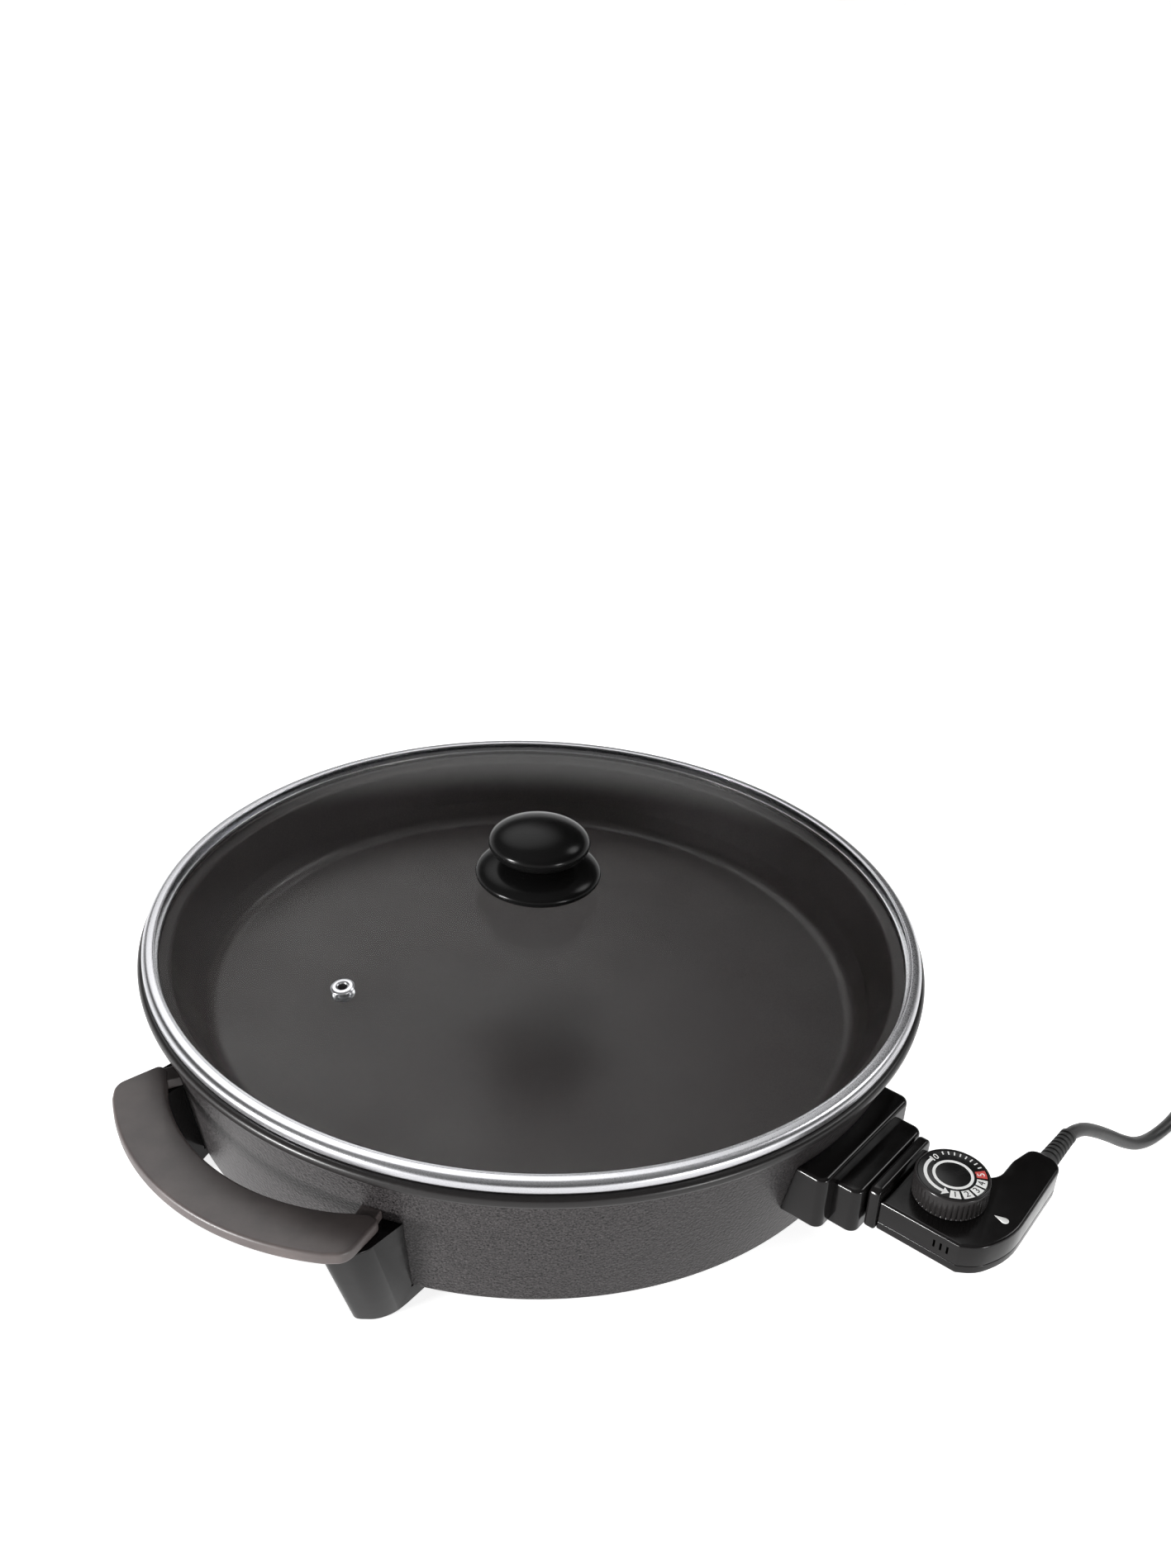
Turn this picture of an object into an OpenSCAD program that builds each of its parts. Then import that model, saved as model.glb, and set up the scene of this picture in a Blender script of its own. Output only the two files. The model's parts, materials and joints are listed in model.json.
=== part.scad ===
// Round electric griddle: a non-stick pan on a cabinet, a glass lid, and a plug-in thermostat.
// Frame: origin on the pan's axis, level with the feet; +X towards the thermostat, +Z up.

/* [Pan] */
// Outer diameter of the pan's rolled rim
rim_d = 425; // [420:1:430]
// Height of the rim above the worktop
rim_h = 91.5; // [90:0.5:95]
// Height of the cooking surface above the worktop
floor_z = 52; // [51:0.5:53]
// Radius of the flat cooking surface
floor_r = 172.5; // [168:0.5:174]
// Thickness of the pan's casting
pan_t = 3; // [2.5:0.1:3]

/* [Cabinet] */
// Height of the cabinet's lower edge above the worktop
cabinet_z = 10; // [10:0.5:12]
// Radius of the cabinet at its lower edge
cabinet_r = 193.9; // [192:0.1:195]
// Thickness of the cabinet's sheet
sheet_t = 1.5; // [1.2:0.1:1.8]

/* [Handles] */
// Height of the top of the handles
handle_z = 65; // [63:0.5:66]
// Depth of a handle's moulding
handle_t = 7; // [6.5:0.5:8]
// Outer radius of a handle's own arc
handle_r = 135; // [134:0.5:136]
// Width of a handle's grip
handle_w = 26; // [25:0.5:27]
// Distance of a handle's arc centre from the pan's axis
handle_c = 113.3; // [113:0.1:114]
// Angle of each leg's screws from the handle's middle
leg_angle = 22; // [21.5:0.5:22.5]
// Angle of each handle lug and its screw, from the handle's middle
lug_angle = 20; // [19.5:0.5:20.5]
// Distance of each leg's centre from the handle's middle
leg_x = 74; // [73:0.5:75]
// Width of a leg
leg_w = 18; // [16:0.5:19]

/* [Lid] */
// Outer diameter of the lid's steel rim
lid_d = 420; // [419:0.5:421]
// Height of the top of the glass at the middle
dome_z = 118; // [117:0.5:119]
// Thickness of the glass
glass_t = 4; // [3:0.5:4]
// Widest diameter of the knob's grip
grip_d = 54.6; // [50:0.2:58]
// Widest diameter of the knob's finger guard
guard_d = 68; // [64:0.5:72]
// Distance of the steam vent from the middle of the lid
vent_r = 130; // [126:1:134]

/* [Thermostat] */
// Height of the plug's axis above the worktop
plug_z = 44; // [44:0.5:44]
// Height of the top of the thermostat's case
case_top = 55; // [54:0.5:56]
// Height of the bottom of the thermostat's case
case_bottom = 37.7; // [37:0.1:38]
// Wall thickness of the thermostat's case
case_t = 2; // [1.6:0.1:2.2]
// Diameter of the dial
dial_d = 36; // [34:0.5:37]
// Height of the dial
dial_h = 13; // [11:0.5:14]

/* [Cord] */
// Diameter of the mains lead
cord_d = 7; // [6.5:0.5:7]

/* [Hidden] */
$fn = 96;

gap = 0.3;
rim_r = rim_d / 2;
lid_r = lid_d / 2;

// Corners of the pan's wall and rim, as radius and height
wall_foot = [floor_r + 10.5, floor_z + 9];
wall_head = [195, rim_h - 7.5];
ledge = [202, rim_h - 4];
spreader_t = 1.05;
element_r = 3.9;
element_ring = 118;
pin_y = 13;
pin_r = 2.4;
probe_r = 3;
stud_ring = 155;
stud_r = 4.5;
screw_r = 2;
tap = 0.05;
cover_z = cabinet_z + 0.8;
cover_t = 1;
lip_z = cabinet_z + 2;

leg_screw_z = 30;
handle_screw_z = 61;

// Socket block on the cabinet: a wide step and a narrow step
step_a = [215.5, 41, rim_h - 55.5, rim_h - 25.5];
step_b = [229, 31, 35, 60.5];
cavity = [19, 6.9];
nose = [17.5, 5.9];

// Thermostat's case, seen from above: x, y and corner radius
case_x0 = 236;
flange_x0 = 230.2;
case_outline = [
    [case_x0, -22.5, 0.5], [277.5, -22.5, 3], [285.5, -17, 20], [293.5, 0, 44], [290.3, 62, 8],
    [273.5, 62, 6], [270.3, 47, 12], [270.5, 26, 11], [case_x0, 25, 0.5]
];
seam_z = case_bottom + 5;
dial_xy = [258, 3.5];
case_screw_xy = [[243, -15.5], [284, 2], [280, 52]];
cord_exit = [281, 62, 47.5];
relief_len = 30;

// Coil of the lead: two turns side by side in two layers
coil_xy = [348, 250];
coil_in = 31.5;
coil_out = coil_in + 2 * cord_d;
cord_r = cord_d / 2;

// Where the lead runs from the strain relief to the coil, and from the coil to the plug
lead_route = [
    [281, 91, 47], [281.5, 98, 46], [283.5, 108, 42.5], [287, 119, 36], [291, 131, 27.5],
    [295, 143, 18.5], [299, 156, 10.5], [302, 170, 5.5], [304.5, 185, 3.8], [306, 200, 3.5],
    [306, 216, 3.5], [306, 233, 3.5], [306, 250, 3.5]
];
tail_route = [
    [390, 250, 10.5], [390, 238, 10.5], [390, 226, 11], [390, 214, 12.6], [390, 203, 14.8],
    [390, 193, 17], [390, 184, 18.6], [390, 176, 19]
];
plug_at = [390, 176, 19];
plug_turn = -90;

function unit(v) = v / norm(v);
function turned(v, a) = [v.x * cos(a) - v.y * sin(a), v.x * sin(a) + v.y * cos(a)];

// One rounded corner at b, of the radius b[2], between the neighbours a and c
function corner(a, b, c) =
    let (p = [b.x, b.y], u = unit([a.x, a.y] - p), v = unit([c.x, c.y] - p),
         half = acos(u * v) / 2, d = b[2] / tan(half), hub = p + unit(u + v) * b[2] / sin(half),
         from = p + u * d - hub, side = u.x * v.y - u.y * v.x > 0 ? -1 : 1,
         sweep = side * (180 - 2 * half), steps = max(2, ceil(abs(sweep) / 12)))
    [for (i = [0:steps]) hub + turned(from, sweep * i / steps)];
function rounded(points) =
    let (n = len(points))
    [for (i = [0:n - 1]) each corner(points[(i + n - 1) % n], points[i], points[(i + 1) % n])];

// Radius of the cabinet's outer face at a height
function cabinet_at(z) = cabinet_r + (rim_r - 4.9 - cabinet_r) * (z - cabinet_z - 2.5) / (rim_h - cabinet_z - 8);
function sphere_r() = (pow(lid_r - 6, 2) + pow(dome_z - 96.6, 2)) / (2 * (dome_z - 96.6));
function dome_at(r) = dome_z - sphere_r() + sqrt(pow(sphere_r(), 2) - r * r);

// Points along a line, every few steps, for a smooth route through the points given
function spline(p, i, t) =
    let (n = len(p), a = p[max(i - 1, 0)], b = p[i], c = p[min(i + 1, n - 1)], d = p[min(i + 2, n - 1)])
    0.5 * (2 * b + (c - a) * t + (2 * a - 5 * b + 4 * c - d) * t * t + (3 * b - a - 3 * c + d) * t * t * t);
function smooth(p) = [for (i = [0:len(p) - 2]) each [spline(p, i, 0), spline(p, i, 0.5)], p[len(p) - 1]];

module at_sides(angle) {
    for (side = [-90, 90], a = [-angle, angle]) rotate(side + a) children();
}

// A round bar or bore along +X
module radial_bar(from, to, z, r) {
    translate([from, 0, z]) rotate([0, 90, 0]) cylinder(r = r, h = to - from);
}

module tube_along(route, r, sides = 8) {
    path = smooth(route);
    n = len(path);
    ring = [for (i = [0:n - 1])
        let (t = unit(path[min(i + 1, n - 1)] - path[max(i - 1, 0)]),
             s = unit(cross(t, [0, 0, 1])), u = cross(s, t))
        each [for (k = [0:sides - 1]) path[i] + r * (cos(360 * k / sides) * s + sin(360 * k / sides) * u)]];
    walls = [for (i = [0:n - 2], k = [0:sides - 1])
        [i * sides + k, (i + 1) * sides + k, (i + 1) * sides + (k + 1) % sides, i * sides + (k + 1) % sides]];
    polyhedron(ring, concat(walls, [[for (k = [0:sides - 1]) k]],
        [[for (k = [0:sides - 1]) (n - 1) * sides + sides - 1 - k]]), 6);
}

module cabinet_body(extra = 0) {
    rotate_extrude() polygon([
        [0, 0], [cabinet_r + extra, 0], [cabinet_r + extra, cabinet_z + 2.5],
        [cabinet_at(rim_h - 5.5) + extra, rim_h - 5.5], [0, rim_h - 5.5]
    ]);
}

module pan() {
    color([0.13, 0.13, 0.13])
    rotate_extrude() polygon([
        [0, floor_z], [floor_r, floor_z], [floor_r + 4, floor_z + 0.9], [floor_r + 7.5, floor_z + 3.4],
        wall_foot, wall_head, [wall_head.x + 1.8, wall_head.y + 2], ledge,
        [rim_r - 9, rim_h - 3], [rim_r - 8, rim_h - 1], [rim_r - 6, rim_h], [rim_r - 3, rim_h],
        [rim_r - 0.8, rim_h - 1.1], [rim_r, rim_h - 2.9], [rim_r - 0.3, rim_h - 4.7],
        [rim_r - 1.7, rim_h - 6.1], [rim_r - 3.5, rim_h - 6.3], [rim_r - 3.7, rim_h - 5.3],
        [rim_r - 3.9, rim_h - 3.5], [rim_r - 6, rim_h - 2.3], [rim_r - 6.9, rim_h - 2.9],
        [rim_r - 7.7, rim_h - 4.9], [ledge.x + 1.5, ledge.y - 2.3], [wall_head.x + 2.8, wall_head.y - 0.4],
        [wall_foot.x + 2.4, wall_foot.y - 1.6], [floor_r + 9, floor_z + 1], [floor_r + 5, floor_z - 2],
        [floor_r, floor_z - pan_t], [0, floor_z - pan_t]
    ]);
}

module base_shell() {
    top = rim_h - 5.5;
    color([0.2, 0.18, 0.18])
    difference() {
        rotate_extrude() polygon([
            [cabinet_at(top), top], [cabinet_r, cabinet_z + 2.5], [cabinet_r - 0.6, cabinet_z + 0.9],
            [cabinet_r - 1.9, cabinet_z], [cabinet_r - 3.2, cabinet_z], [cabinet_r - 3.7, cabinet_z + 0.9],
            [cabinet_r - 4, lip_z], [181, lip_z], [181, lip_z + 1.2], [cabinet_r - 3, lip_z + 1.2],
            [cabinet_r - sheet_t, cabinet_z + 5], [cabinet_at(top) - sheet_t, top]
        ]);
        translate([180, -cavity.x - 4, plug_z - cavity.y - 1.6]) cube([30, 2 * cavity.x + 8, 2 * cavity.y + 3.2]);
        at_sides(leg_angle) radial_bar(180, 210, leg_screw_z, screw_r + 0.2);
        at_sides(lug_angle) radial_bar(180, 212, handle_screw_z, screw_r + 0.2);
        for (y = [-32, 32]) translate([0, y, 0]) radial_bar(180, 210, 51, screw_r + 0.2);
    }
}

module bottom_cover() {
    color([0.25, 0.25, 0.26])
    translate([0, 0, cover_z])
    difference() {
        cylinder(r = cabinet_r - 4.9, h = cover_t);
        for (a = [60, 180, 300]) rotate(a) translate([stud_ring, 0, -1]) cylinder(r = screw_r + 0.3, h = 3);
    }
}

module support_studs() {
    z = cover_z + cover_t + 0.05;
    color("silver")
    for (a = [60, 180, 300]) rotate(a) translate([stud_ring, 0, z])
        difference() {
            cylinder(r = stud_r, h = floor_z - pan_t - 0.05 - z);
            translate([0, 0, -1]) cylinder(r = screw_r + tap, h = 15);
        }
}

module cover_screws() {
    color("gainsboro")
    for (a = [60, 180, 300]) rotate(a) translate([stud_ring, 0, cover_z - 0.05]) {
        translate([0, 0, -2.2]) cylinder(r = 4, h = 2.2);
        translate([0, 0, -0.5]) cylinder(r = screw_r, h = 12);
    }
}

module heat_spreader() {
    color("lightgrey")
    translate([0, 0, floor_z - pan_t - 0.05 - spreader_t]) cylinder(r = 138, h = spreader_t);
}

module heating_element() {
    start = asin((pin_y - 1) / element_ring);
    color("dimgray")
    translate([0, 0, plug_z])
        rotate(start) rotate_extrude(angle = 360 - 2 * start)
            translate([element_ring, 0]) circle(element_r - 0.1);
    color("dimgray")
    for (y = [-pin_y, pin_y]) translate([0, y, 0]) radial_bar(element_ring - 5, 193.95, plug_z, element_r);
}

module terminal_bushes() {
    color("ivory")
    for (y = [-pin_y, pin_y]) translate([194, y, plug_z]) rotate([0, 90, 0])
        difference() {
            cylinder(r = element_r, h = 5);
            translate([0, 0, -1]) cylinder(r = pin_r + tap, h = 7);
        }
}

module terminal_pins() {
    color("silver")
    for (y = [-pin_y, pin_y]) translate([194, y, plug_z]) rotate([0, 90, 0]) {
        cylinder(r = pin_r, h = 26);
        translate([0, 0, 26]) cylinder(r1 = pin_r, r2 = pin_r - 1, h = 2, $fn = 48);
    }
}

module probe_sleeve() {
    color("lightgrey")
    translate([142, 0, plug_z]) rotate([0, 90, 0])
        difference() {
            cylinder(r = 4.9, h = 30);
            translate([0, 0, -1]) cylinder(r = probe_r + gap, h = 32);
        }
}

module step_block(step, x0) {
    outline = rounded([[x0, -step[1], 0.5], [step[0], -step[1], 5], [step[0], step[1], 5], [x0, step[1], 0.5]]);
    translate([0, 0, step[2]]) linear_extrude(step[3] - step[2]) polygon(outline);
}

module socket_housing() {
    color([0.05, 0.05, 0.05])
    difference() {
        union() {
            difference() {
                step_block(step_a, 190);
                cabinet_body(gap);
            }
            step_block(step_b, step_a[0] - 3);
        }
        translate([180, -cavity.x, plug_z - cavity.y]) cube([60, 2 * cavity.x, 2 * cavity.y]);
        for (y = [-32, 32]) translate([0, y, 0]) radial_bar(190, 211, 51, screw_r + tap);
    }
}

module socket_screws() {
    head_x = sqrt(pow(cabinet_at(47) - sheet_t, 2) - pow(36, 2)) - 2.6;
    color("gainsboro")
    for (y = [-32, 32]) translate([0, y, 0]) {
        radial_bar(head_x, head_x + 2.2, 51, 4);
        radial_bar(head_x, 210, 51, screw_r);
    }
}

// Grip outline: an arc with blunt ends that come in to the cabinet
module grip_plan() {
    sweep = 34;
    inner = handle_r - handle_w;
    outer_end = handle_r * [cos(sweep), sin(sweep)];
    inner_end = inner * [cos(sweep), sin(sweep)];
    bend = inner * [cos(sweep + 8), sin(sweep + 8)];
    tip = rounded([
        [inner_end.x + 4, inner_end.y - 2, 0.3], [outer_end.x - 4, outer_end.y - 4, 0.3],
        [outer_end.x, outer_end.y, 0.3], [outer_end.x - 6, outer_end.y + 10, 9],
        [bend.x, bend.y + 6.5, 3.5], [bend.x, bend.y, 0.3], [inner_end.x, inner_end.y, 0.3]
    ]);
    difference() {
        circle(handle_r);
        circle(inner);
        rotate(sweep) translate([-2 * handle_r, 0]) square(4 * handle_r);
        rotate(-sweep) translate([-2 * handle_r, -4 * handle_r]) square(4 * handle_r);
    }
    for (m = [0, 1]) mirror([0, m]) polygon(tip);
}

module handle(side) {
    lug_w = 10;
    color([0.27, 0.24, 0.24])
    rotate(side)
        difference() {
            union() {
                translate([handle_c, 0, handle_z - handle_t]) linear_extrude(handle_t) grip_plan();
                for (a = [-lug_angle, lug_angle]) rotate(a)
                    translate([195, -lug_w / 2, handle_z - handle_t]) cube([22, lug_w, handle_t - 1]);
            }
            cabinet_body(gap);
            translate([handle_c, 0, handle_z - handle_t - 1]) rotate(-25) rotate_extrude(angle = 50)
                translate([handle_r - handle_w + 3.5, 0]) square([handle_w - 7, handle_t - 3]);
            for (a = [-lug_angle, lug_angle]) rotate(a) radial_bar(195, 214, handle_screw_z, screw_r + tap);
        }
}

module handle_front() handle(-90);
module handle_rear() handle(90);

// A leg on the handle's side of the cabinet, at a distance x along the handle
module leg(side, x) {
    top = handle_z - handle_t - 0.05;
    near = abs(x) - leg_w / 2;
    outline = rounded([
        [104, 0, 2], [111.7, 0, 2], [128, top, 0.3], [90, top, 0.3], [90, cabinet_z - 2.5, 1]
    ]);
    color([0.06, 0.06, 0.06])
    rotate(side)
        difference() {
            intersection() {
                translate([handle_c, 0, 0]) rotate_extrude() polygon(outline);
                mirror([0, x < 0 ? 1 : 0, 0]) translate([handle_c, 0, 0]) rotate([90, 0, 90])
                    linear_extrude(150) polygon([
                        [near, -1], [near + leg_w - 4, -1], [near + leg_w - 4, 0], [near + leg_w, 10],
                        [near + leg_w, top + 1], [near, top + 1]
                    ]);
            }
            intersection() {
                cabinet_body(gap);
                translate([0, 0, cabinet_z - gap]) cylinder(r = cabinet_r + 20, h = 60);
            }
            rotate(x > 0 ? leg_angle : -leg_angle) radial_bar(180, 212, leg_screw_z, screw_r + tap);
        }
}

module leg_front_left() leg(-90, -leg_x);
module leg_front_right() leg(-90, leg_x);
module leg_rear_left() leg(90, leg_x);
module leg_rear_right() leg(90, -leg_x);

module wall_screws(angle, z, reach) {
    head_x = cabinet_at(z - 4) - sheet_t - 2.6;
    color("gainsboro")
    at_sides(angle) {
        radial_bar(head_x, head_x + 2.2, z, 4);
        radial_bar(head_x, reach, z, screw_r);
    }
}

module handle_screws() wall_screws(lug_angle, handle_screw_z, 213);
module leg_screws() wall_screws(leg_angle, leg_screw_z, 210);

// Places a child on the glass at the vent, along the glass's own normal
module at_vent() {
    rotate(-96.5) translate([vent_r, 0, dome_at(vent_r)]) rotate([0, asin(vent_r / sphere_r()), 0]) children();
}

module lid_glass() {
    edge_r = lid_r - 1.6;
    flat_r = lid_r - 6;
    steps = 22;
    color([0.75, 0.82, 0.85, 0.35])
    difference() {
        rotate_extrude() polygon(concat(
            [for (i = [0:steps]) [flat_r * i / steps, dome_at(flat_r * i / steps)]],
            [[edge_r, 96.3], [edge_r, 93.3], [flat_r, 92.9]],
            [for (i = [steps:-1:0]) [(flat_r - 0.6) * i / steps, dome_at(flat_r * i / steps) - glass_t]]
        ));
        cylinder(r = 3.2, h = 300);
        at_vent() cylinder(r = 4, h = 20, center = true);
    }
}

module lid_rim() {
    inner = lid_r - 6.6;
    color("silver")
    rotate_extrude() polygon([
        [inner, 98.2], [inner + 1.2, 98.4], [lid_r - 1.6, 98], [lid_r - 0.4, 97], [lid_r, 95.4], [lid_r, 93],
        [lid_r - 0.6, 91.9], [inner + 1, 91.7], [inner - 0.2, 91.4], [inner - 0.4, 90], [inner - 1.3, 90],
        [inner - 1.3, 92], [inner - 0.6, 92.3], [inner + 1, 92.5], [lid_r - 1.4, 92.8], [lid_r - 1.2, 93.3],
        [lid_r - 1.2, 95.4], [lid_r - 1.7, 96.5], [inner, 97.1]
    ]);
}

module vent_eyelet() {
    color("silver")
    at_vent()
        rotate_extrude() polygon([
            [2.4, -glass_t - 1.2], [5.4, -glass_t - 1.2], [5.6, -glass_t - 0.15], [3.8, -glass_t - 0.15], [3.8, 0.1],
            [5.9, 0.1], [6, 0.6], [5, 1.3], [3.6, 1.5], [2.6, 1.1], [2.4, 0.4]
        ]);
}

module washer(r, bore, z, h) {
    translate([0, 0, z])
        difference() {
            cylinder(r = r, h = h);
            translate([0, 0, -1]) cylinder(r = bore, h = h + 2);
        }
}

module knob_gasket() {
    color([0.1, 0.1, 0.1]) washer(13, 2.7, dome_z + 0.02, 1.9);
}

module inner_gasket() {
    color([0.1, 0.1, 0.1]) washer(11, 2.7, dome_z - glass_t - 1.15, 1);
}

module knob_washer() {
    color("silver") washer(10, 2.7, dome_z - glass_t - 2.2, 1);
}

module knob_screw() {
    head_top = dome_z - glass_t - 2.25;
    color("silver") {
        translate([0, 0, head_top - 2.6]) cylinder(r = 5, h = 2.6);
        translate([0, 0, head_top - 1]) cylinder(r = 2.5, h = 33);
    }
}

// Half outline of a flattened round, cut flat at the heights from and to
function lens(r, half_h, mid, from, to, steps) =
    let (a0 = asin((from - mid) / half_h), a1 = asin((to - mid) / half_h))
    [for (i = [0:steps]) let (a = a0 + (a1 - a0) * i / steps) [r * cos(a), mid + half_h * sin(a)]];

module knob_guard() {
    foot = dome_z + 2;
    head = dome_z + 15.5;
    outline = lens(guard_d / 2, 8.9, dome_z + 7.5, foot, head - 0.05, 20);
    color([0.04, 0.04, 0.04])
    difference() {
        rotate_extrude() polygon(concat([[0, foot]], outline, [[0, head - 0.05]]));
        translate([0, 0, foot - 1]) cylinder(r = 2.7, h = 30);
    }
}

module knob_grip() {
    foot = dome_z + 15.5;
    outline = lens(grip_d / 2, 10.8, dome_z + 25.7, foot, dome_z + 36.49, 24);
    color([0.04, 0.04, 0.04])
    difference() {
        rotate_extrude() polygon(concat([[0, foot]], outline, [[0, dome_z + 36.49]]));
        translate([0, 0, foot - 1]) cylinder(r = 2.55, h = 14);
    }
}

module case_plan(inset = 0) {
    offset(delta = -inset) polygon(rounded(case_outline));
}

// Holes for the contacts' tails, through the flange and the case's front wall
module contact_holes() {
    for (y = [-pin_y, pin_y]) translate([0, y, 0]) radial_bar(flange_x0 - 1, case_x0 + 4, plug_z, 2.2);
}

module case_top_half() {
    color([0.05, 0.05, 0.05])
    difference() {
        union() {
            difference() {
                translate([0, 0, seam_z]) linear_extrude(case_top - seam_z) case_plan();
                translate([0, 0, seam_z - 1]) linear_extrude(case_top - case_t - seam_z + 1) case_plan(case_t);
            }
            for (p = case_screw_xy) translate([p.x, p.y, seam_z]) cylinder(r = 2.6, h = case_top - 1 - seam_z);
        }
        for (p = case_screw_xy) translate([p.x, p.y, seam_z - 1]) cylinder(r = 1.25 + tap, h = 9);
        translate([dial_xy.x, dial_xy.y, seam_z]) cylinder(r = 3.06, h = 30);
        radial_bar(case_x0 - 1, case_x0 + 4, plug_z, probe_r + 0.4);
        contact_holes();
        translate([cord_exit.x, cord_exit.y - 5, cord_exit.z]) rotate([-90, 0, 0]) cylinder(r = 4.05, h = 10);
        for (i = [0:2]) translate([264.5 + 3.4 * i, -24, seam_z + 3.5]) cube([1.1, 5, 4.2]);
        pilot_window(0.05);
    }
}

module case_bottom_half() {
    color([0.05, 0.05, 0.05])
    difference() {
        translate([0, 0, case_bottom]) linear_extrude(seam_z - 0.05 - case_bottom) case_plan();
        difference() {
            translate([0, 0, case_bottom + case_t]) linear_extrude(9) case_plan(case_t);
            for (p = case_screw_xy) translate([p.x, p.y, case_bottom]) cylinder(r = 4, h = 9);
        }
        for (p = case_screw_xy) translate([p.x, p.y, case_bottom - 1]) {
            cylinder(r = 1.6, h = 9);
            cylinder(r = 2.9, h = 3.4);
        }
        radial_bar(case_x0 - 1, case_x0 + 4, plug_z, probe_r + 0.4);
        contact_holes();
        translate([cord_exit.x, cord_exit.y - 5, cord_exit.z]) rotate([-90, 0, 0]) cylinder(r = 4.05, h = 10);
    }
}

module case_screws() {
    color("gainsboro")
    for (p = case_screw_xy) translate([p.x, p.y, case_bottom + 0.2]) {
        cylinder(r = 2.6, h = 2.15);
        cylinder(r = 1.25, h = 11);
    }
}

module case_flange() {
    outline = rounded([[-25, -6, 2], [26, -6, 2], [26, 18, 4], [-25, 18, 4]]);
    color([0.05, 0.05, 0.05])
    difference() {
        translate([flange_x0, 0, plug_z]) rotate([90, 0, 90]) linear_extrude(case_x0 - 0.05 - flange_x0) polygon(outline);
        radial_bar(flange_x0 - 1, case_x0 + 1, plug_z, probe_r + 0.4);
        contact_holes();
    }
}

module plug_nose() {
    color([0.09, 0.09, 0.09])
    difference() {
        translate([206, -nose.x, plug_z - nose.y]) cube([flange_x0 - 0.05 - 206, 2 * nose.x, 2 * nose.y]);
        radial_bar(200, 240, plug_z, probe_r + 0.4);
        for (y = [-pin_y, pin_y]) translate([0, y, 0]) radial_bar(200, 240, plug_z, 3.3);
    }
}

module pin_contacts() {
    color("goldenrod")
    for (y = [-pin_y, pin_y]) translate([0, y, 0]) {
        difference() {
            radial_bar(209, flange_x0 - 0.1, plug_z, 3.25);
            radial_bar(208, flange_x0 - 2, plug_z, pin_r + 0.15);
        }
        radial_bar(flange_x0 - 1, case_x0 + 3, plug_z, 2.1);
    }
}

module probe_tube() {
    color("silver") {
        radial_bar(152, 246, plug_z, probe_r);
        translate([152, 0, plug_z]) sphere(probe_r);
    }
}

module thermostat_block() {
    color("ivory")
    difference() {
        translate([246.05, -11.2, case_bottom + case_t + 0.1]) cube([16, 11.2, 9]);
        translate([dial_xy.x, dial_xy.y, case_bottom]) cylinder(r = 5.5, h = 30);
    }
}

module bimetal_blade() {
    color("goldenrod") translate([248, -10, case_bottom + case_t + 9.2]) cube([12, 4, 0.6]);
}

module pilot_lamp() {
    color("orange") translate([278, 20, 47]) rotate([-90, 0, 0]) cylinder(r = 2.2, h = 12);
}

// Teardrop window in the case's top, its point towards the dial
module pilot_window(extra = 0) {
    base = [285.6, 6];
    r = 2.1 + extra;
    tip_x = 279.8 - 2 * extra;
    depth = 1.2 + extra;
    translate([0, 0, case_top - depth]) linear_extrude(depth + 0.15 + 4 * extra)
        polygon(concat([[tip_x, base.y]], [for (a = [-110:10:110]) [base.x + r * cos(a), base.y + r * sin(a)]]));
}

module pilot_lens() {
    color("white") pilot_window();
}

module dial_knob() {
    z0 = case_top + 0.3;
    top = case_top + dial_h;
    ribs = 60;
    color([0.05, 0.05, 0.05])
    difference() {
        translate([dial_xy.x, dial_xy.y, 0])
            rotate_extrude() polygon([
                [0, z0 + 3], [13, z0 + 3], [13, z0], [dial_d / 2 - 0.6, z0], [dial_d / 2, z0 + 0.6],
                [dial_d / 2, top - 0.8], [dial_d / 2 - 0.8, top], [dial_d / 2 - 1.4, top],
                [dial_d / 2 - 1.4, top - 0.7], [0, top - 0.7]
            ]);
        translate([dial_xy.x, dial_xy.y, z0]) cylinder(r = 3.05, h = dial_h - 4);
    }
}

module dial_face() {
    color([0.02, 0.02, 0.02])
    translate([dial_xy.x, dial_xy.y, case_top + dial_h - 0.65]) cylinder(r = dial_d / 2 - 1.45, h = 0.5);
}

module dial_spindle() {
    color("silver") translate([dial_xy.x, dial_xy.y, case_bottom + case_t + 1]) {
        cylinder(r = 3, h = case_top + dial_h - 4 - case_bottom - case_t - 1);
        cylinder(r = 5, h = 3);
    }
}

module strain_relief() {
    color([0.07, 0.07, 0.07])
    translate([cord_exit.x, cord_exit.y, cord_exit.z]) rotate([-90, 0, 0])
        difference() {
            rotate_extrude() polygon([
                [0, -6], [5, -6], [5, -4.3], [4, -4.3], [4, 0.05], [5.6, 0.05], [5.6, 2], [4.4, relief_len], [0, relief_len]
            ]);
            translate([0, 0, relief_len - 1]) cylinder(r = cord_r + 0.2, h = 2);
        }
}

module cord() {
    color([0.08, 0.08, 0.08]) tube_along(lead_route, cord_r);
}

module cord_tail() {
    color([0.08, 0.08, 0.08]) tube_along(tail_route, cord_r);
}

module cord_coil() {
    color([0.08, 0.08, 0.08])
    translate([coil_xy.x, coil_xy.y, 0])
        rotate_extrude() translate([coil_in, 0]) square([coil_out - coil_in, 2 * cord_d]);
}

module cord_tie() {
    wrap = 0.8;
    wide = coil_out - coil_in;
    color([0.85, 0.85, 0.85])
    translate([coil_xy.x, coil_xy.y, 0]) rotate(60)
        difference() {
            translate([coil_in - wrap, -4, 0]) cube([wide + 2 * wrap, 8, 2 * cord_d + wrap]);
            translate([coil_in, -5, wrap]) cube([wide, 10, 2 * cord_d - wrap]);
        }
}

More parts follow.
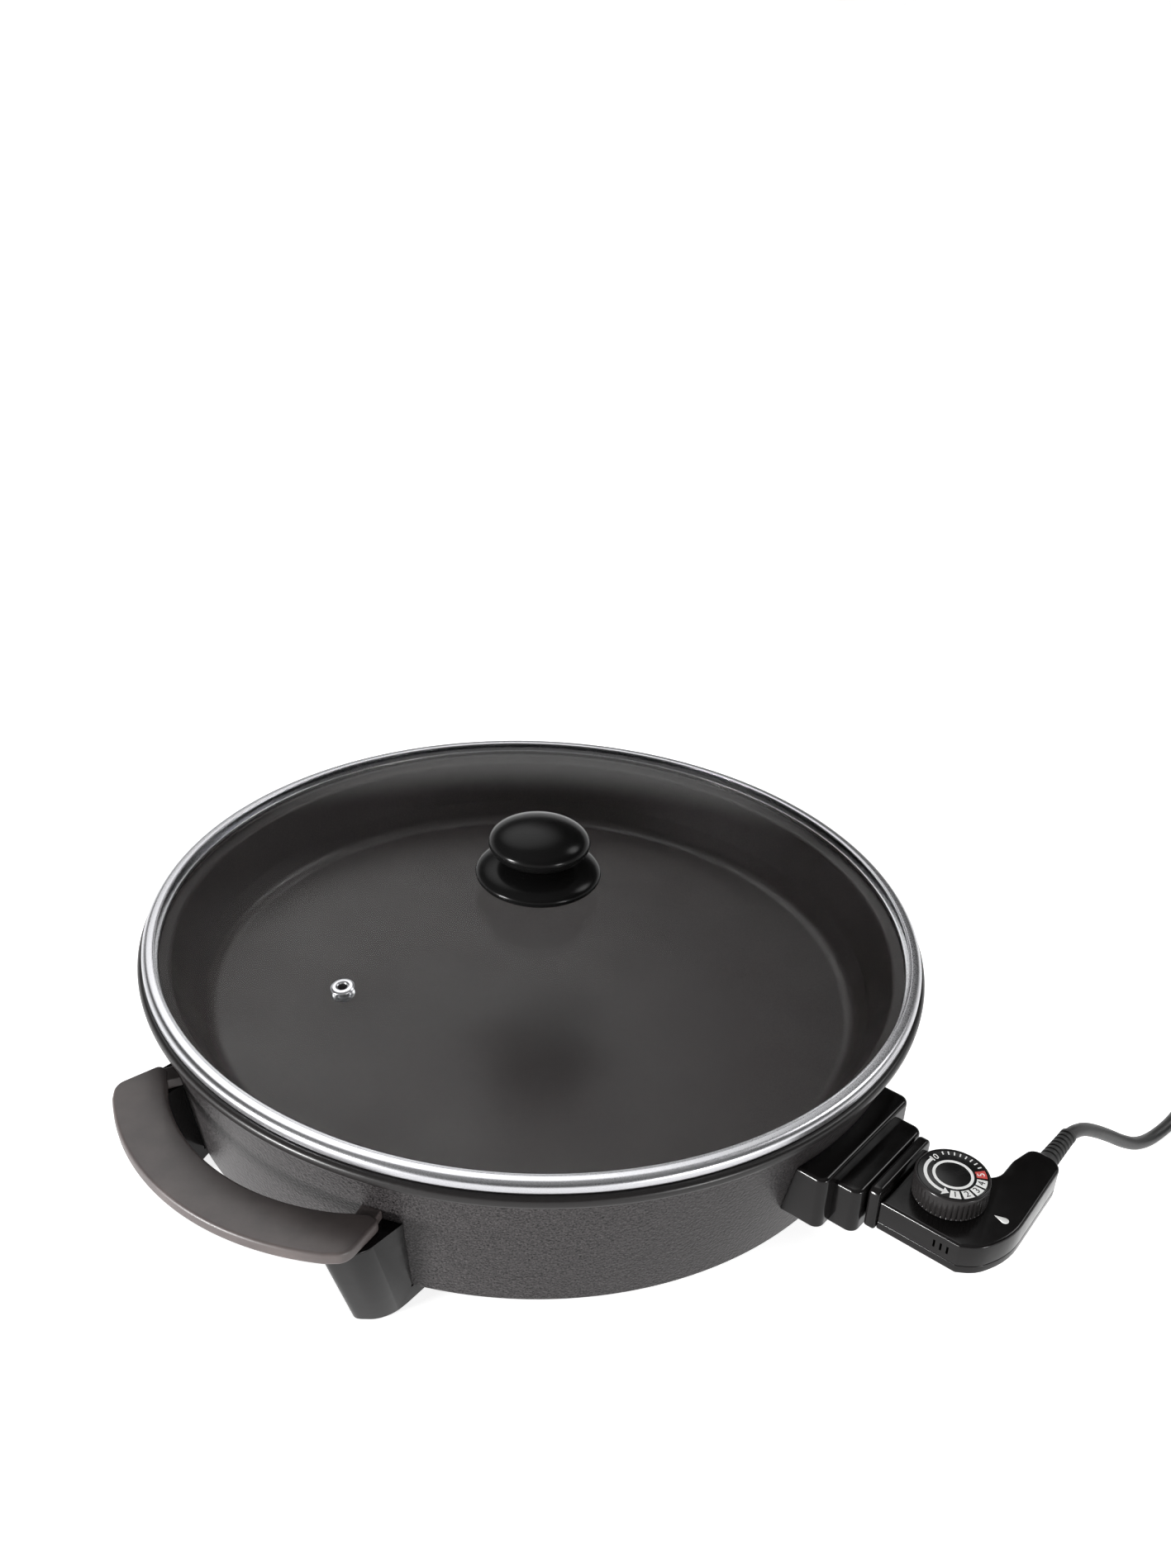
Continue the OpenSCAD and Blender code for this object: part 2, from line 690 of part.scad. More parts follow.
module at_plug() {
    translate(plug_at) rotate([0, 90, plug_turn]) children();
}

module plug_collar() {
    color([0.08, 0.08, 0.08])
    at_plug()
        difference() {
            cylinder(r1 = 4.4, r2 = 6.2, h = 22);
            translate([0, 0, -1]) cylinder(r = cord_r + 0.2, h = 2);
        }
}

module plug_body() {
    color([0.06, 0.06, 0.06])
    at_plug()
        translate([0, 0, 22.05])
            difference() {
                rotate_extrude() polygon([
                    [0, 0], [9, 0], [12, 2], [13, 14], [18.2, 20], [18.8, 22], [18.8, 33], [18.2, 34], [0, 34]
                ]);
                for (a = [-1, 1]) translate([0, 19 * a, 12]) translate([-3, -2.7, 0]) cube([6, 5.4, 30]);
                for (a = [-1, 1]) translate([0, 9.5 * a, 20]) cylinder(r = 2.4 + tap, h = 20);
            }
}

module plug_pins() {
    color("silver")
    at_plug()
        for (a = [-1, 1]) translate([0, 9.5 * a, 44.05]) {
            cylinder(r = 2.4, h = 30);
            translate([0, 0, 30]) cylinder(r1 = 2.4, r2 = 1.2, h = 1.2);
        }
}

pan();
base_shell();
bottom_cover();
support_studs();
cover_screws();
heat_spreader();
heating_element();
terminal_bushes();
terminal_pins();
probe_sleeve();
socket_housing();
socket_screws();
handle_front();
handle_rear();
leg_front_left();
leg_front_right();
leg_rear_left();
leg_rear_right();
handle_screws();
leg_screws();
lid_glass();
lid_rim();
vent_eyelet();
knob_gasket();
inner_gasket();
knob_washer();
knob_screw();
knob_guard();
knob_grip();
case_top_half();
case_bottom_half();
case_flange();
plug_nose();
pin_contacts();
probe_tube();
thermostat_block();
bimetal_blade();
pilot_lamp();
pilot_lens();
case_screws();
dial_knob();
dial_face();
dial_spindle();
strain_relief();
cord();
cord_coil();
cord_tie();
cord_tail();
plug_collar();
plug_body();
plug_pins();
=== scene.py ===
"""Round electric griddle: the looks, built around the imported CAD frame. Lengths are in metres."""
import json
import math

import bmesh
import bpy
from mathutils import Matrix, Vector


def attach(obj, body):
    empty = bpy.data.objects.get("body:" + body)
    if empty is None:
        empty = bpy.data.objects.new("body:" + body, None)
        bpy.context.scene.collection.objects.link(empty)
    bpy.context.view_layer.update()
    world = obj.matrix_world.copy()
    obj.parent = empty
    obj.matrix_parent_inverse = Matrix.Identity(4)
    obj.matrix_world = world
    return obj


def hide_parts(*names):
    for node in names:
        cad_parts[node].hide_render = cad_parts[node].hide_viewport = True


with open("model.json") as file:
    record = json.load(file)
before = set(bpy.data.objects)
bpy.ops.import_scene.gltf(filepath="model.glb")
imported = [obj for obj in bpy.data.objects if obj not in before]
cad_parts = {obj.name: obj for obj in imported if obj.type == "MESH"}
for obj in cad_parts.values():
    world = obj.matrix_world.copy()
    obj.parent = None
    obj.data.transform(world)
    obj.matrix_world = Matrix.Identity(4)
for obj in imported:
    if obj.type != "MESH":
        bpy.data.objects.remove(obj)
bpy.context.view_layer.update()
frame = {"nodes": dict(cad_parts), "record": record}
MM = 0.001
TAU = 2 * math.pi


def aim(azimuth, up):
    """A unit vector from angles in degrees: azimuth 0 is towards +Y and 90 towards +X."""
    azimuth, up = math.radians(azimuth), math.radians(up)
    return Vector((math.sin(azimuth) * math.cos(up), math.cos(azimuth) * math.cos(up), math.sin(up)))


def new_object(name, data):
    """An object linked to the scene."""
    made = bpy.data.objects.new(name, data)
    bpy.context.scene.collection.objects.link(made)
    return made


# ------------ camera

CAMERA_AT = (0.4452, -0.5345, 0.5609)
CAMERA_AZIMUTH = -37.9
CAMERA_DOWN = 28.68
CAMERA_ROLL = 3.2
CAMERA_LENS = 34.68
SENSOR = 36.0
CLIP = 0.01, 100


def make_camera():
    """The viewing angle. The roll turns the picture clockwise."""
    turn, roll = math.radians(CAMERA_AZIMUTH), math.radians(CAMERA_ROLL)
    forward = aim(CAMERA_AZIMUTH, -CAMERA_DOWN)
    right = Vector((math.cos(turn), -math.sin(turn), 0))
    up = right.cross(forward)
    right, up = (
        math.cos(roll) * right + math.sin(roll) * up,
        -math.sin(roll) * right + math.cos(roll) * up,
    )
    data = bpy.data.cameras.new("camera")
    data.sensor_width = SENSOR
    data.lens = CAMERA_LENS
    data.clip_start, data.clip_end = CLIP
    camera = new_object("camera", data)
    axes = Matrix((right, up, -forward)).transposed().to_4x4()
    camera.matrix_world = Matrix.Translation(CAMERA_AT) @ axes
    bpy.context.scene.camera = camera


make_camera()


# ------------ outlines and meshes

SHARP = 32          # degrees between two faces above which their edge stays sharp
SOFT_SHARP = 50     # the same, for pieces with finely rounded edges


def mm(points):
    """Points given in millimetres, as metres. A third number on a 2-D point is its corner radius."""
    return [tuple(c * MM for c in p) for p in points]


def at_mm(x, y, z):
    """Moves a piece to a point given in millimetres."""
    return Matrix.Translation((x * MM, y * MM, z * MM))


def turned(radius, degrees):
    """The point at a radius and an angle from +X."""
    return radius * math.cos(math.radians(degrees)), radius * math.sin(math.radians(degrees))


def rounded(points, closed=True, step=10):
    """An outline through points (x, y, corner radius), each corner an arc of steps of so many degrees."""
    out, count = [], len(points)
    for i, (x, y, radius) in enumerate(points):
        here = Vector((x, y))
        if radius == 0 or (not closed and i in (0, count - 1)):
            out.append((x, y))
            continue
        before = (Vector(points[i - 1][:2]) - here).normalized()
        after = (Vector(points[(i + 1) % count][:2]) - here).normalized()
        half = before.angle(after) / 2
        hub = here + (before + after).normalized() * (radius / math.sin(half))
        start = here + before * (radius / math.tan(half)) - hub
        sweep = math.pi - 2 * half
        if before.x * after.y - before.y * after.x > 0:
            sweep = -sweep
        steps = max(2, math.ceil(abs(math.degrees(sweep)) / step))
        for k in range(steps + 1):
            cos, sin = math.cos(sweep * k / steps), math.sin(sweep * k / steps)
            out.append(tuple(hub + Vector((start.x * cos - start.y * sin, start.x * sin + start.y * cos))))
    return out


def arc(radius, start, end, steps):
    """Points on a circle about the origin, between two angles in degrees."""
    return [turned(radius, start + (end - start) * k / steps) for k in range(steps + 1)]


def corner(points, i):
    """At a point of a counterclockwise outline: its two edges, the first one's normal and the mean normal."""
    here = Vector(points[i][:2])
    before = (here - Vector(points[i - 1][:2])).normalized()
    after = (Vector(points[(i + 1) % len(points)][:2]) - here).normalized()
    normal = Vector((-before.y, before.x))
    return before, after, normal, (normal + Vector((-after.y, after.x))).normalized()


def inset(outline, by):
    """A counterclockwise outline moved inwards by a distance, with as many points."""
    out = []
    for i, (x, y) in enumerate(outline):
        _, _, normal, middle = corner(outline, i)
        lean = max(0.3, middle.dot(normal))
        out.append((x + middle.x * by / lean, y + middle.y * by / lean))
    return out


def inset_corners(corners, by):
    """Counterclockwise corners (x, y, corner radius) moved inwards by a distance, for use with rounded()."""
    out = []
    for i, (x, y, radius) in enumerate(corners):
        before, after, normal, middle = corner(corners, i)
        outward = before.x * after.y - before.y * after.x > 0
        moved = Vector((x, y)) + middle * (by / middle.dot(normal))
        out.append((moved.x, moved.y, max(radius * 0.2, radius - by) if outward else radius + by))
    return out


def finish_mesh(name, verts, faces, material, smooth=SHARP, matrix=None):
    """A linked object from raw geometry, welded, with edges sharper than an angle left sharp."""
    mesh = bpy.data.meshes.new(name)
    mesh.from_pydata([tuple(v) for v in verts], [], faces)
    bm = bmesh.new()
    bm.from_mesh(mesh)
    bmesh.ops.remove_doubles(bm, verts=bm.verts, dist=1e-6)
    bmesh.ops.recalc_face_normals(bm, faces=bm.faces)
    if matrix is not None:
        bm.transform(matrix)
    for face in bm.faces:
        face.smooth = True
    for edge in bm.edges:
        if len(edge.link_faces) == 2 and edge.calc_face_angle(0) > math.radians(smooth):
            edge.smooth = False
    bm.to_mesh(mesh)
    bm.free()
    mesh.materials.append(material)
    return new_object(name, mesh)


def revolve(name, profile, material, segments, closed=False, wave=None, matrix=None, smooth=SHARP):
    """A turned piece from (radius, height) points. wave(point's number, radius, angle) gives a new radius."""
    verts, faces, rows = [], [], len(profile)
    for k in range(segments):
        a = TAU * k / segments
        for i, (r, z) in enumerate(profile):
            if wave:
                r = wave(i, r, a)
            verts.append((r * math.cos(a), r * math.sin(a), z))
    last = rows if closed else rows - 1
    for k in range(segments):
        for i in range(last):
            j, m = (i + 1) % rows, (k + 1) % segments
            quad = [k * rows + i, m * rows + i, m * rows + j, k * rows + j]
            if profile[i][0] < 1e-9:
                quad = [quad[0], quad[2], quad[3]]
            elif profile[j][0] < 1e-9:
                quad = [quad[0], quad[1], quad[2]]
            faces.append(quad)
    return finish_mesh(name, verts, faces, material, smooth, matrix)


def outline_in(outline, by):
    """The outline of points or of corners, moved inwards, as points."""
    if len(outline[0]) == 3:
        return rounded(inset_corners(outline, by), step=6)
    return inset(outline, by)


def slab(name, outline, low, high, material, top=0.0, bottom=0.0, steps=4, matrix=None, smooth=SHARP):
    """A plate with the given outline, its upper and lower edges rounded to a radius."""
    rings = []
    for k in range(steps + 1 if bottom else 1):
        a = math.pi / 2 * k / steps
        rings.append((outline_in(outline, bottom * (1 - math.sin(a))), low + bottom * (1 - math.cos(a))))
    for k in range(steps + 1 if top else 1):
        a = math.pi / 2 * (1 - k / steps)
        rings.append((outline_in(outline, top * (1 - math.sin(a))), high - top * (1 - math.cos(a))))
    count = len(rings[0][0])
    verts = [(x, y, z) for ring, z in rings for x, y in ring]
    faces = [list(range(count))[::-1], [(len(rings) - 1) * count + i for i in range(count)]]
    for k in range(len(rings) - 1):
        for i in range(count):
            j = (i + 1) % count
            faces.append([k * count + i, k * count + j, (k + 1) * count + j, (k + 1) * count + i])
    return finish_mesh(name, verts, faces, material, smooth, matrix)


def block(low, high):
    """A scratch box for cutting, given by two corners in millimetres."""
    (x0, y0, z0), (x1, y1, z1) = mm((low, high))
    return slab("cutter", [(x0, y0), (x1, y0), (x1, y1), (x0, y1)], z0, z1, None)


def drill(radius, low, high, matrix, segments=40):
    """A scratch bar for cutting: its radius and its two ends along its own axis, in millimetres."""
    line = mm([(0, low), (radius, low), (radius, high), (0, high)])
    return revolve("cutter", line, None, segments, matrix=matrix)


def final_mesh(piece):
    """A new mesh of an object as it stands, modifiers and all."""
    bpy.context.view_layer.update()
    return bpy.data.meshes.new_from_object(piece.evaluated_get(bpy.context.evaluated_depsgraph_get()))


def cut(piece, cutters, smooth=SHARP):
    """Takes the cutters out of a piece, and removes them."""
    for cutter in cutters:
        step = piece.modifiers.new("cut", "BOOLEAN")
        step.operation = "DIFFERENCE"
        step.solver = "EXACT"
        step.object = cutter
    mesh = final_mesh(piece)
    piece.modifiers.clear()
    piece.data = mesh
    bm = bmesh.new()
    bm.from_mesh(mesh)
    for edge in bm.edges:
        edge.smooth = not (len(edge.link_faces) == 2 and edge.calc_face_angle(0) > math.radians(smooth))
    bm.to_mesh(mesh)
    bm.free()
    for cutter in cutters:
        bpy.data.objects.remove(cutter)
    return piece


def join(name, pieces):
    """Several meshes as one object, in world places."""
    bm = bmesh.new()
    materials = []
    for piece in pieces:
        for m in piece.data.materials:
            if m not in materials:
                materials.append(m)
        start = len(bm.faces)
        bm.from_mesh(piece.data)
        bm.faces.ensure_lookup_table()
        for face in list(bm.faces)[start:]:
            face.material_index = materials.index(piece.data.materials[face.material_index])
    mesh = bpy.data.meshes.new(name)
    bm.to_mesh(mesh)
    bm.free()
    for m in materials:
        mesh.materials.append(m)
    for piece in pieces:
        bpy.data.objects.remove(piece)
    return new_object(name, mesh)


def spin(degrees):
    """A turn about the upright axis."""
    return Matrix.Rotation(math.radians(degrees), 4, "Z")


def flip():
    """Upside down, for screws that go in from below."""
    return Matrix.Rotation(math.pi, 4, "X")


def heading(at, degrees=0.0):
    """Turns a revolved piece's axis level, pointing along an angle from +X, its base at a point."""
    return Matrix.Translation(at) @ spin(degrees) @ Matrix.Rotation(math.pi / 2, 4, "Y")


def put(piece, body, slot, *nodes):
    """The piece rides on a body and stands for CAD nodes, which it hides. The slot argument is not used."""
    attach(piece, body)
    if nodes:
        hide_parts(*nodes)
    return piece


# ------------ materials


MAT = {}  # every material by its slot's name


def shader_of(material):
    """The node that holds a material's base colour, roughness and the like."""
    return material.node_tree.nodes["Principled BSDF"]


def new_material(name, color, roughness, metallic=0.0, **sockets):
    """A material in the table, with other sockets by name, a space written as an underscore."""
    material = MAT[name] = bpy.data.materials.new(name)
    material.use_nodes = True
    shader = shader_of(material)
    shader.inputs["Base Color"].default_value = (*color, 1)
    shader.inputs["Roughness"].default_value = roughness
    shader.inputs["Metallic"].default_value = metallic
    for key, value in sockets.items():
        shader.inputs[key.replace("_", " ")].default_value = value
    return material


def add(material, kind, **values):
    """A node with its inputs or its settings by name."""
    node = material.node_tree.nodes.new(kind)
    for key, value in values.items():
        if key in node.inputs:
            node.inputs[key].default_value = value
        else:
            setattr(node, key, value)
    return node


def link(material, a, out, b, into):
    material.node_tree.links.new(a.outputs[out], b.inputs[into])


def place(material, stretch=(1, 1, 1)):
    """Object coordinates, stretched: the same on every piece, in metres."""
    where = add(material, "ShaderNodeTexCoord")
    mapping = add(material, "ShaderNodeMapping")
    mapping.inputs["Scale"].default_value = stretch
    link(material, where, "Object", mapping, "Vector")
    return mapping


def grain(material, size, detail, stretch=(1, 1, 1)):
    """A noise whose blobs are about size across."""
    noise = add(material, "ShaderNodeTexNoise", Detail=detail, Roughness=0.55)
    noise.inputs["Scale"].default_value = 1 / size
    link(material, place(material, stretch), "Vector", noise, "Vector")
    return noise


NOISE_LOW, NOISE_HIGH = 0.35, 0.65  # where most of a noise's values lie


def vary_color(material, source, dark, light, a=NOISE_LOW, b=NOISE_HIGH):
    """Base colour from dark where a noise is under a, to light where it's over b."""
    node = add(material, "ShaderNodeValToRGB")
    for element, position, color in zip(node.color_ramp.elements, (a, b), (dark, light)):
        element.position = position
        element.color = (*color, 1)
    link(material, source, "Fac", node, "Fac")
    link(material, node, "Color", shader_of(material), "Base Color")


def vary_roughness(material, source, low, high):
    """Roughness from low to high over the values of a noise."""
    node = add(material, "ShaderNodeMapRange")
    for key, value in (("From Min", NOISE_LOW), ("From Max", NOISE_HIGH), ("To Min", low), ("To Max", high)):
        node.inputs[key].default_value = value
    link(material, source, "Fac", node, "Value")
    link(material, node, "Result", shader_of(material), "Roughness")


def bump(material, source, out, height):
    """Relief of a height in metres. Calls stack."""
    shader = shader_of(material)
    node = add(material, "ShaderNodeBump", Strength=1.0, Distance=height)
    under = shader.inputs["Normal"].links
    if under:
        material.node_tree.links.new(under[0].from_socket, node.inputs["Normal"])
    link(material, source, out, node, "Height")
    link(material, node, "Normal", shader, "Normal")


def nonstick():
    """Charcoal coating: sprayed, satin, with a very fine speckle."""
    m = new_material("nonstick_coating", (0.05, 0.046, 0.044), 0.42, Specular_IOR_Level=0.36)
    speckle = grain(m, 0.7 * MM, 4)
    cloud = grain(m, 40 * MM, 3)
    vary_color(m, speckle, (0.020, 0.0158, 0.0155), (0.036, 0.0285, 0.028), 0.3, 0.7)
    vary_roughness(m, cloud, 0.40, 0.48)
    bump(m, speckle, "Fac", 0.005 * MM)


def hammertone():
    """Dark sprayed enamel with a fine pebbled skin that glitters where light rakes it."""
    m = new_material(
        "hammertone_paint", (0.05, 0.046, 0.047), 0.34, 0.3,
        Specular_IOR_Level=0.15, Coat_Weight=0.04, Coat_Roughness=0.25,
    )
    pebbles = add(m, "ShaderNodeTexVoronoi", feature="SMOOTH_F1")
    pebbles.inputs["Scale"].default_value = 1 / (1.5 * MM)
    pebbles.inputs["Smoothness"].default_value = 0.6
    link(m, place(m), "Vector", pebbles, "Vector")
    fine = grain(m, 0.8 * MM, 3)
    vary_color(m, fine, (0.006, 0.0055, 0.0056), (0.07, 0.064, 0.065), 0.35, 0.75)
    vary_roughness(m, fine, 0.28, 0.42)
    bump(m, pebbles, "Distance", 0.22 * MM)
    bump(m, fine, "Fac", 0.10 * MM)


def satin_band():
    """The rim's outside: smooth satin black."""
    m = new_material("rim_enamel", (0.010, 0.009, 0.009), 0.32, Specular_IOR_Level=0.3)
    fine = grain(m, 1.2 * MM, 3)
    vary_roughness(m, fine, 0.29, 0.36)
    bump(m, fine, "Fac", 0.008 * MM)


def satin_bakelite():
    """The grips: dull brownish black, slightly cloudy."""
    m = new_material("satin_bakelite", (0.085, 0.070, 0.067), 0.42)
    cloud = grain(m, 18 * MM, 5)
    fine = grain(m, 0.5 * MM, 3)
    vary_color(m, cloud, (0.056, 0.046, 0.045), (0.078, 0.064, 0.061))
    vary_roughness(m, fine, 0.38, 0.48)
    bump(m, fine, "Fac", 0.012 * MM)


def gloss_bakelite(name="gloss_bakelite", base=(0.006, 0.0055, 0.0055), roughness=0.16):
    """Black moulding with a slow wave in its shine: legs, socket, case and dial."""
    m = new_material(name, base, roughness, Specular_IOR_Level=0.2)
    wave = grain(m, 9 * MM, 2)
    fine = grain(m, 0.4 * MM, 2)
    vary_roughness(m, wave, roughness * 0.8, roughness * 1.3)
    bump(m, wave, "Fac", 0.05 * MM)
    bump(m, fine, "Fac", 0.002 * MM)


def knob_bakelite():
    """The lid's knob: deeper black, with little shine."""
    m = new_material("knob_bakelite", (0.004, 0.004, 0.004), 0.2, Specular_IOR_Level=0.08)
    wave = grain(m, 14 * MM, 2)
    vary_roughness(m, wave, 0.18, 0.23)
    bump(m, wave, "Fac", 0.02 * MM)


def polished_steel():
    """Rolled steel, with faint marks round its length."""
    m = new_material("rim_steel", (0.55, 0.55, 0.57), 0.3, 1.0)
    fine = grain(m, 0.6 * MM, 4, stretch=(1, 1, 12))
    vary_roughness(m, fine, 0.24, 0.34)
    bump(m, fine, "Fac", 0.004 * MM)


def clear_glass():
    """The lid's glass. Its low index keeps the pan's picture straight behind a thin sheet."""
    m = new_material("lid_glass", (0.99, 0.995, 0.99), 0.0, Transmission_Weight=1.0, IOR=1.07)
    wave = grain(m, 60 * MM, 2)
    bump(m, wave, "Fac", 0.004 * MM)


def plain(name, color, low, high, metallic=0.0, size=1.0, height=0.01, spread=0.12):
    """A material with a little mottling, for small and inner pieces."""
    m = new_material(name, color, (low + high) / 2, metallic)
    fine = grain(m, size * MM, 4)
    dark, light = (tuple(min(1, c * (1 + change)) for c in color) for change in (-spread, spread))
    vary_color(m, fine, dark, light)
    vary_roughness(m, fine, low, high)
    bump(m, fine, "Fac", height * MM)


nonstick()
satin_band()
hammertone()
satin_bakelite()
gloss_bakelite()
knob_bakelite()
polished_steel()
clear_glass()
plain("cover_sheet", (0.045, 0.044, 0.044), 0.42, 0.55, size=2, height=0.03)
plain("zinc_steel", (0.60, 0.59, 0.56), 0.25, 0.40, 1.0)
plain("bare_aluminium", (0.72, 0.72, 0.73), 0.30, 0.45, 1.0)
plain("element_sheath", (0.23, 0.21, 0.20), 0.35, 0.55, 0.9)
plain("ceramic", (0.80, 0.76, 0.68), 0.45, 0.60)
plain("nickel_steel", (0.72, 0.70, 0.66), 0.14, 0.24, 1.0, 0.6, 0.004)
plain("black_rubber", (0.016, 0.016, 0.016), 0.50, 0.65, size=0.6)
plain("contact_brass", (0.72, 0.56, 0.27), 0.25, 0.40, 1.0)
plain("neon_glass", (0.85, 0.40, 0.22), 0.08, 0.16)
plain("white_lens", (0.84, 0.84, 0.82), 0.22, 0.30, spread=0.03)
gloss_bakelite("dial_plastic", (0.013, 0.012, 0.012), 0.2)
gloss_bakelite("dial_print", (0.010, 0.010, 0.010), 0.22)
plain("dial_white", (0.86, 0.86, 0.85), 0.35, 0.45, spread=0.03)
plain("dial_red", (0.62, 0.07, 0.06), 0.35, 0.45, spread=0.08)
plain("cord_sheath", (0.018, 0.018, 0.018), 0.38, 0.5, size=0.8, height=0.02)
plain("tie_plastic", (0.03, 0.03, 0.03), 0.4, 0.55)
plain("plug_plastic", (0.016, 0.016, 0.016), 0.35, 0.5, size=0.5, height=0.02)

for entry in frame["record"]["subparts"]:
    cad = frame["nodes"][entry["node"]]
    cad.data.materials.clear()
    cad.data.materials.append(MAT[entry["material_slot"]])


# ------------ cord

CORD_D = 0.007
CORD_R = CORD_D / 2
COIL_AT = (0.348, 0.250)
LEAD = mm([
    (281, 91, 47), (281.5, 98, 46), (283.5, 108, 42.5), (287, 119, 36), (291, 131, 27.5),
    (295, 143, 18.5), (299, 156, 10.5), (302, 170, 5.5), (304.5, 185, 3.8), (306, 200, 3.5),
    (306, 216, 3.5), (306, 233, 3.5), (306, 250, 3.5),
])
TAIL = mm([
    (390, 250, 10.5), (390, 238, 10.5), (390, 226, 11), (390, 214, 12.6), (390, 203, 14.8),
    (390, 193, 17), (390, 184, 18.6), (390, 176, 19),
])


def coil_line():
    """Outer turn, inner turns in two layers, and back out on top. Marks are (angle, radius, height)."""
    marks = [
        (180, 42, 3.5), (-120, 42, 3.5), (-180, 35, 3.5), (-420, 35, 3.5), (-480, 35, 10.5),
        (-740, 35, 10.5), (-790, 42, 10.5), (-1080, 42, 10.5),
    ]
    line = []
    for (a0, r0, z0), (a1, r1, z1) in zip(marks, marks[1:]):
        steps = max(2, round((a0 - a1) / 15))
        for k in range(1, steps + 1):
            t = k / steps
            s = t * t * (3 - 2 * t)
            a = math.radians(a0 + (a1 - a0) * t)
            r, z = r0 + (r1 - r0) * s, z0 + (z1 - z0) * s
            line.append((COIL_AT[0] + r * MM * math.cos(a), COIL_AT[1] + r * MM * math.sin(a), z * MM))
    return line


def smooth_route(points, steps=4):
    """A Catmull-Rom line through the points."""
    p = [Vector(q) for q in points]
    out = []
    for i in range(len(p) - 1):
        a, b, c, d = p[max(i - 1, 0)], p[i], p[i + 1], p[min(i + 2, len(p) - 1)]
        for k in range(steps):
            t = k / steps
            square = (2 * a - 5 * b + 4 * c - d) * t * t
            cube = (3 * b - a - 3 * c + d) * t**3
            out.append(0.5 * (2 * b + (c - a) * t + square + cube))
    out.append(p[-1])
    return out


def tube(name, route, radius, material, sides=20):
    """A round mesh tube along a route."""
    verts, faces = [], []
    side = None
    for i, p in enumerate(route):
        along = (route[min(i + 1, len(route) - 1)] - route[max(i - 1, 0)]).normalized()
        if side is None:
            side = along.cross(Vector((0, 0, 1))).normalized()
        side = (side - along * side.dot(along)).normalized()
        up = side.cross(along)
        for k in range(sides):
            a = TAU * k / sides
            verts.append(p + radius * (math.cos(a) * side + math.sin(a) * up))
    for i in range(len(route) - 1):
        for k in range(sides):
            m = (k + 1) % sides
            faces.append([i * sides + k, i * sides + m, (i + 1) * sides + m, (i + 1) * sides + k])
    faces.append(list(range(sides))[::-1])
    faces.append([(len(route) - 1) * sides + k for k in range(sides)])
    return finish_mesh(name, verts, faces, material, SOFT_SHARP)


RELIEF_AT = mm([(281, 62, 47.5)])[0]
PLUG_AT = TAIL[-1]


def rubber_sleeve(name, profile, matrix):
    """A turned rubber piece with crisp rings."""
    return revolve(name, mm(profile), MAT["black_rubber"], 40, matrix=matrix, smooth=40)


def make_strain_relief():
    """Tapered rubber sleeve with moulded rings, an inner collar and a groove in the case's wall."""
    profile = [
        (0, -6), (4.6, -6), (5, -5.6), (5, -4.3), (4, -4.3), (4, 0.05), (5.3, 0.05), (5.6, 0.35), (5.6, 2),
        (5.1, 2.5),
    ]
    rings, start, end = 7, 3.2, 27.5
    pitch = (end - start) / rings
    for k in range(rings):
        z = start + k * pitch
        r = 5.05 - 0.9 * k / rings
        profile += [(r, z), (r, z + 0.55 * pitch), (r - 0.75, z + 0.65 * pitch), (r - 0.75, z + 0.9 * pitch)]
    profile += [(4.25, 27.6), (4.3, 29.4), (4.05, 30), (3.52, 30), (3.52, 26)]
    piece = rubber_sleeve("strain_relief_sleeve", profile, heading(RELIEF_AT, 90))
    return put(piece, "thermostat", "black_rubber", "strain_relief")


def plug_grip(i, r, a):
    """Eighteen shallow flutes on the plug's waist, which is points 4 to 6 of its profile."""
    return r * (1 - 0.05 * (0.5 - 0.5 * math.cos(18 * a))) if 4 <= i <= 6 else r


def make_plug():
    """Straight moulded plug: ribbed collar, waisted body with a grip, and two round pins."""
    profile = [(3.52, 2), (3.52, 0), (4.2, 0), (4.5, 0.5)]
    for k in range(6):
        z, r = 1.2 + 3.3 * k, 4.5 + 0.28 * k
        profile += [(r, z), (r + 0.1, z + 1.8), (r - 0.7, z + 2.1), (r - 0.6, z + 3.0)]
    profile += [(6.2, 21.2), (6.2, 22.05), (0, 22.05)]
    collar = rubber_sleeve("plug_collar_sleeve", profile, heading(PLUG_AT, -90))
    put(collar, "thermostat", "black_rubber", "plug_collar")
    body_line = [
        (0, 22.05), (8.2, 22.05), (9, 22.6), (11.8, 24), (12.6, 26), (13, 35), (13.6, 37.4), (17, 41),
        (18.2, 42.4), (18.7, 44), (18.8, 45.2), (18.8, 54.4), (18.6, 55.2), (18.2, 55.75), (17.6, 56.05),
        (13.6, 56.05), (13.4, 55.7), (0, 55.7),
    ]
    body = revolve(
        "plug_moulding", mm(body_line), MAT["plug_plastic"], 144,
        wave=plug_grip, matrix=heading(PLUG_AT, -90), smooth=40,
    )
    put(body, "thermostat", "plug_plastic", "plug_body")
    pins = []
    line = mm([
        (0, 55.2), (3, 55.2), (3, 55.9), (2.4, 56), (2.4, 73.2), (2.2, 74.3), (1.5, 75.05), (0, 75.25),
    ])
    for side in (-9.5, 9.5):
        at = Vector(PLUG_AT) + Vector((side * MM, 0, 0))
        pins.append(revolve("pin", line, MAT["nickel_steel"], 32, matrix=heading(at, -90)))
    pins = put(join("plug_contact_pins", pins), "thermostat", "nickel_steel", "plug_pins")
    return [collar, body, pins]


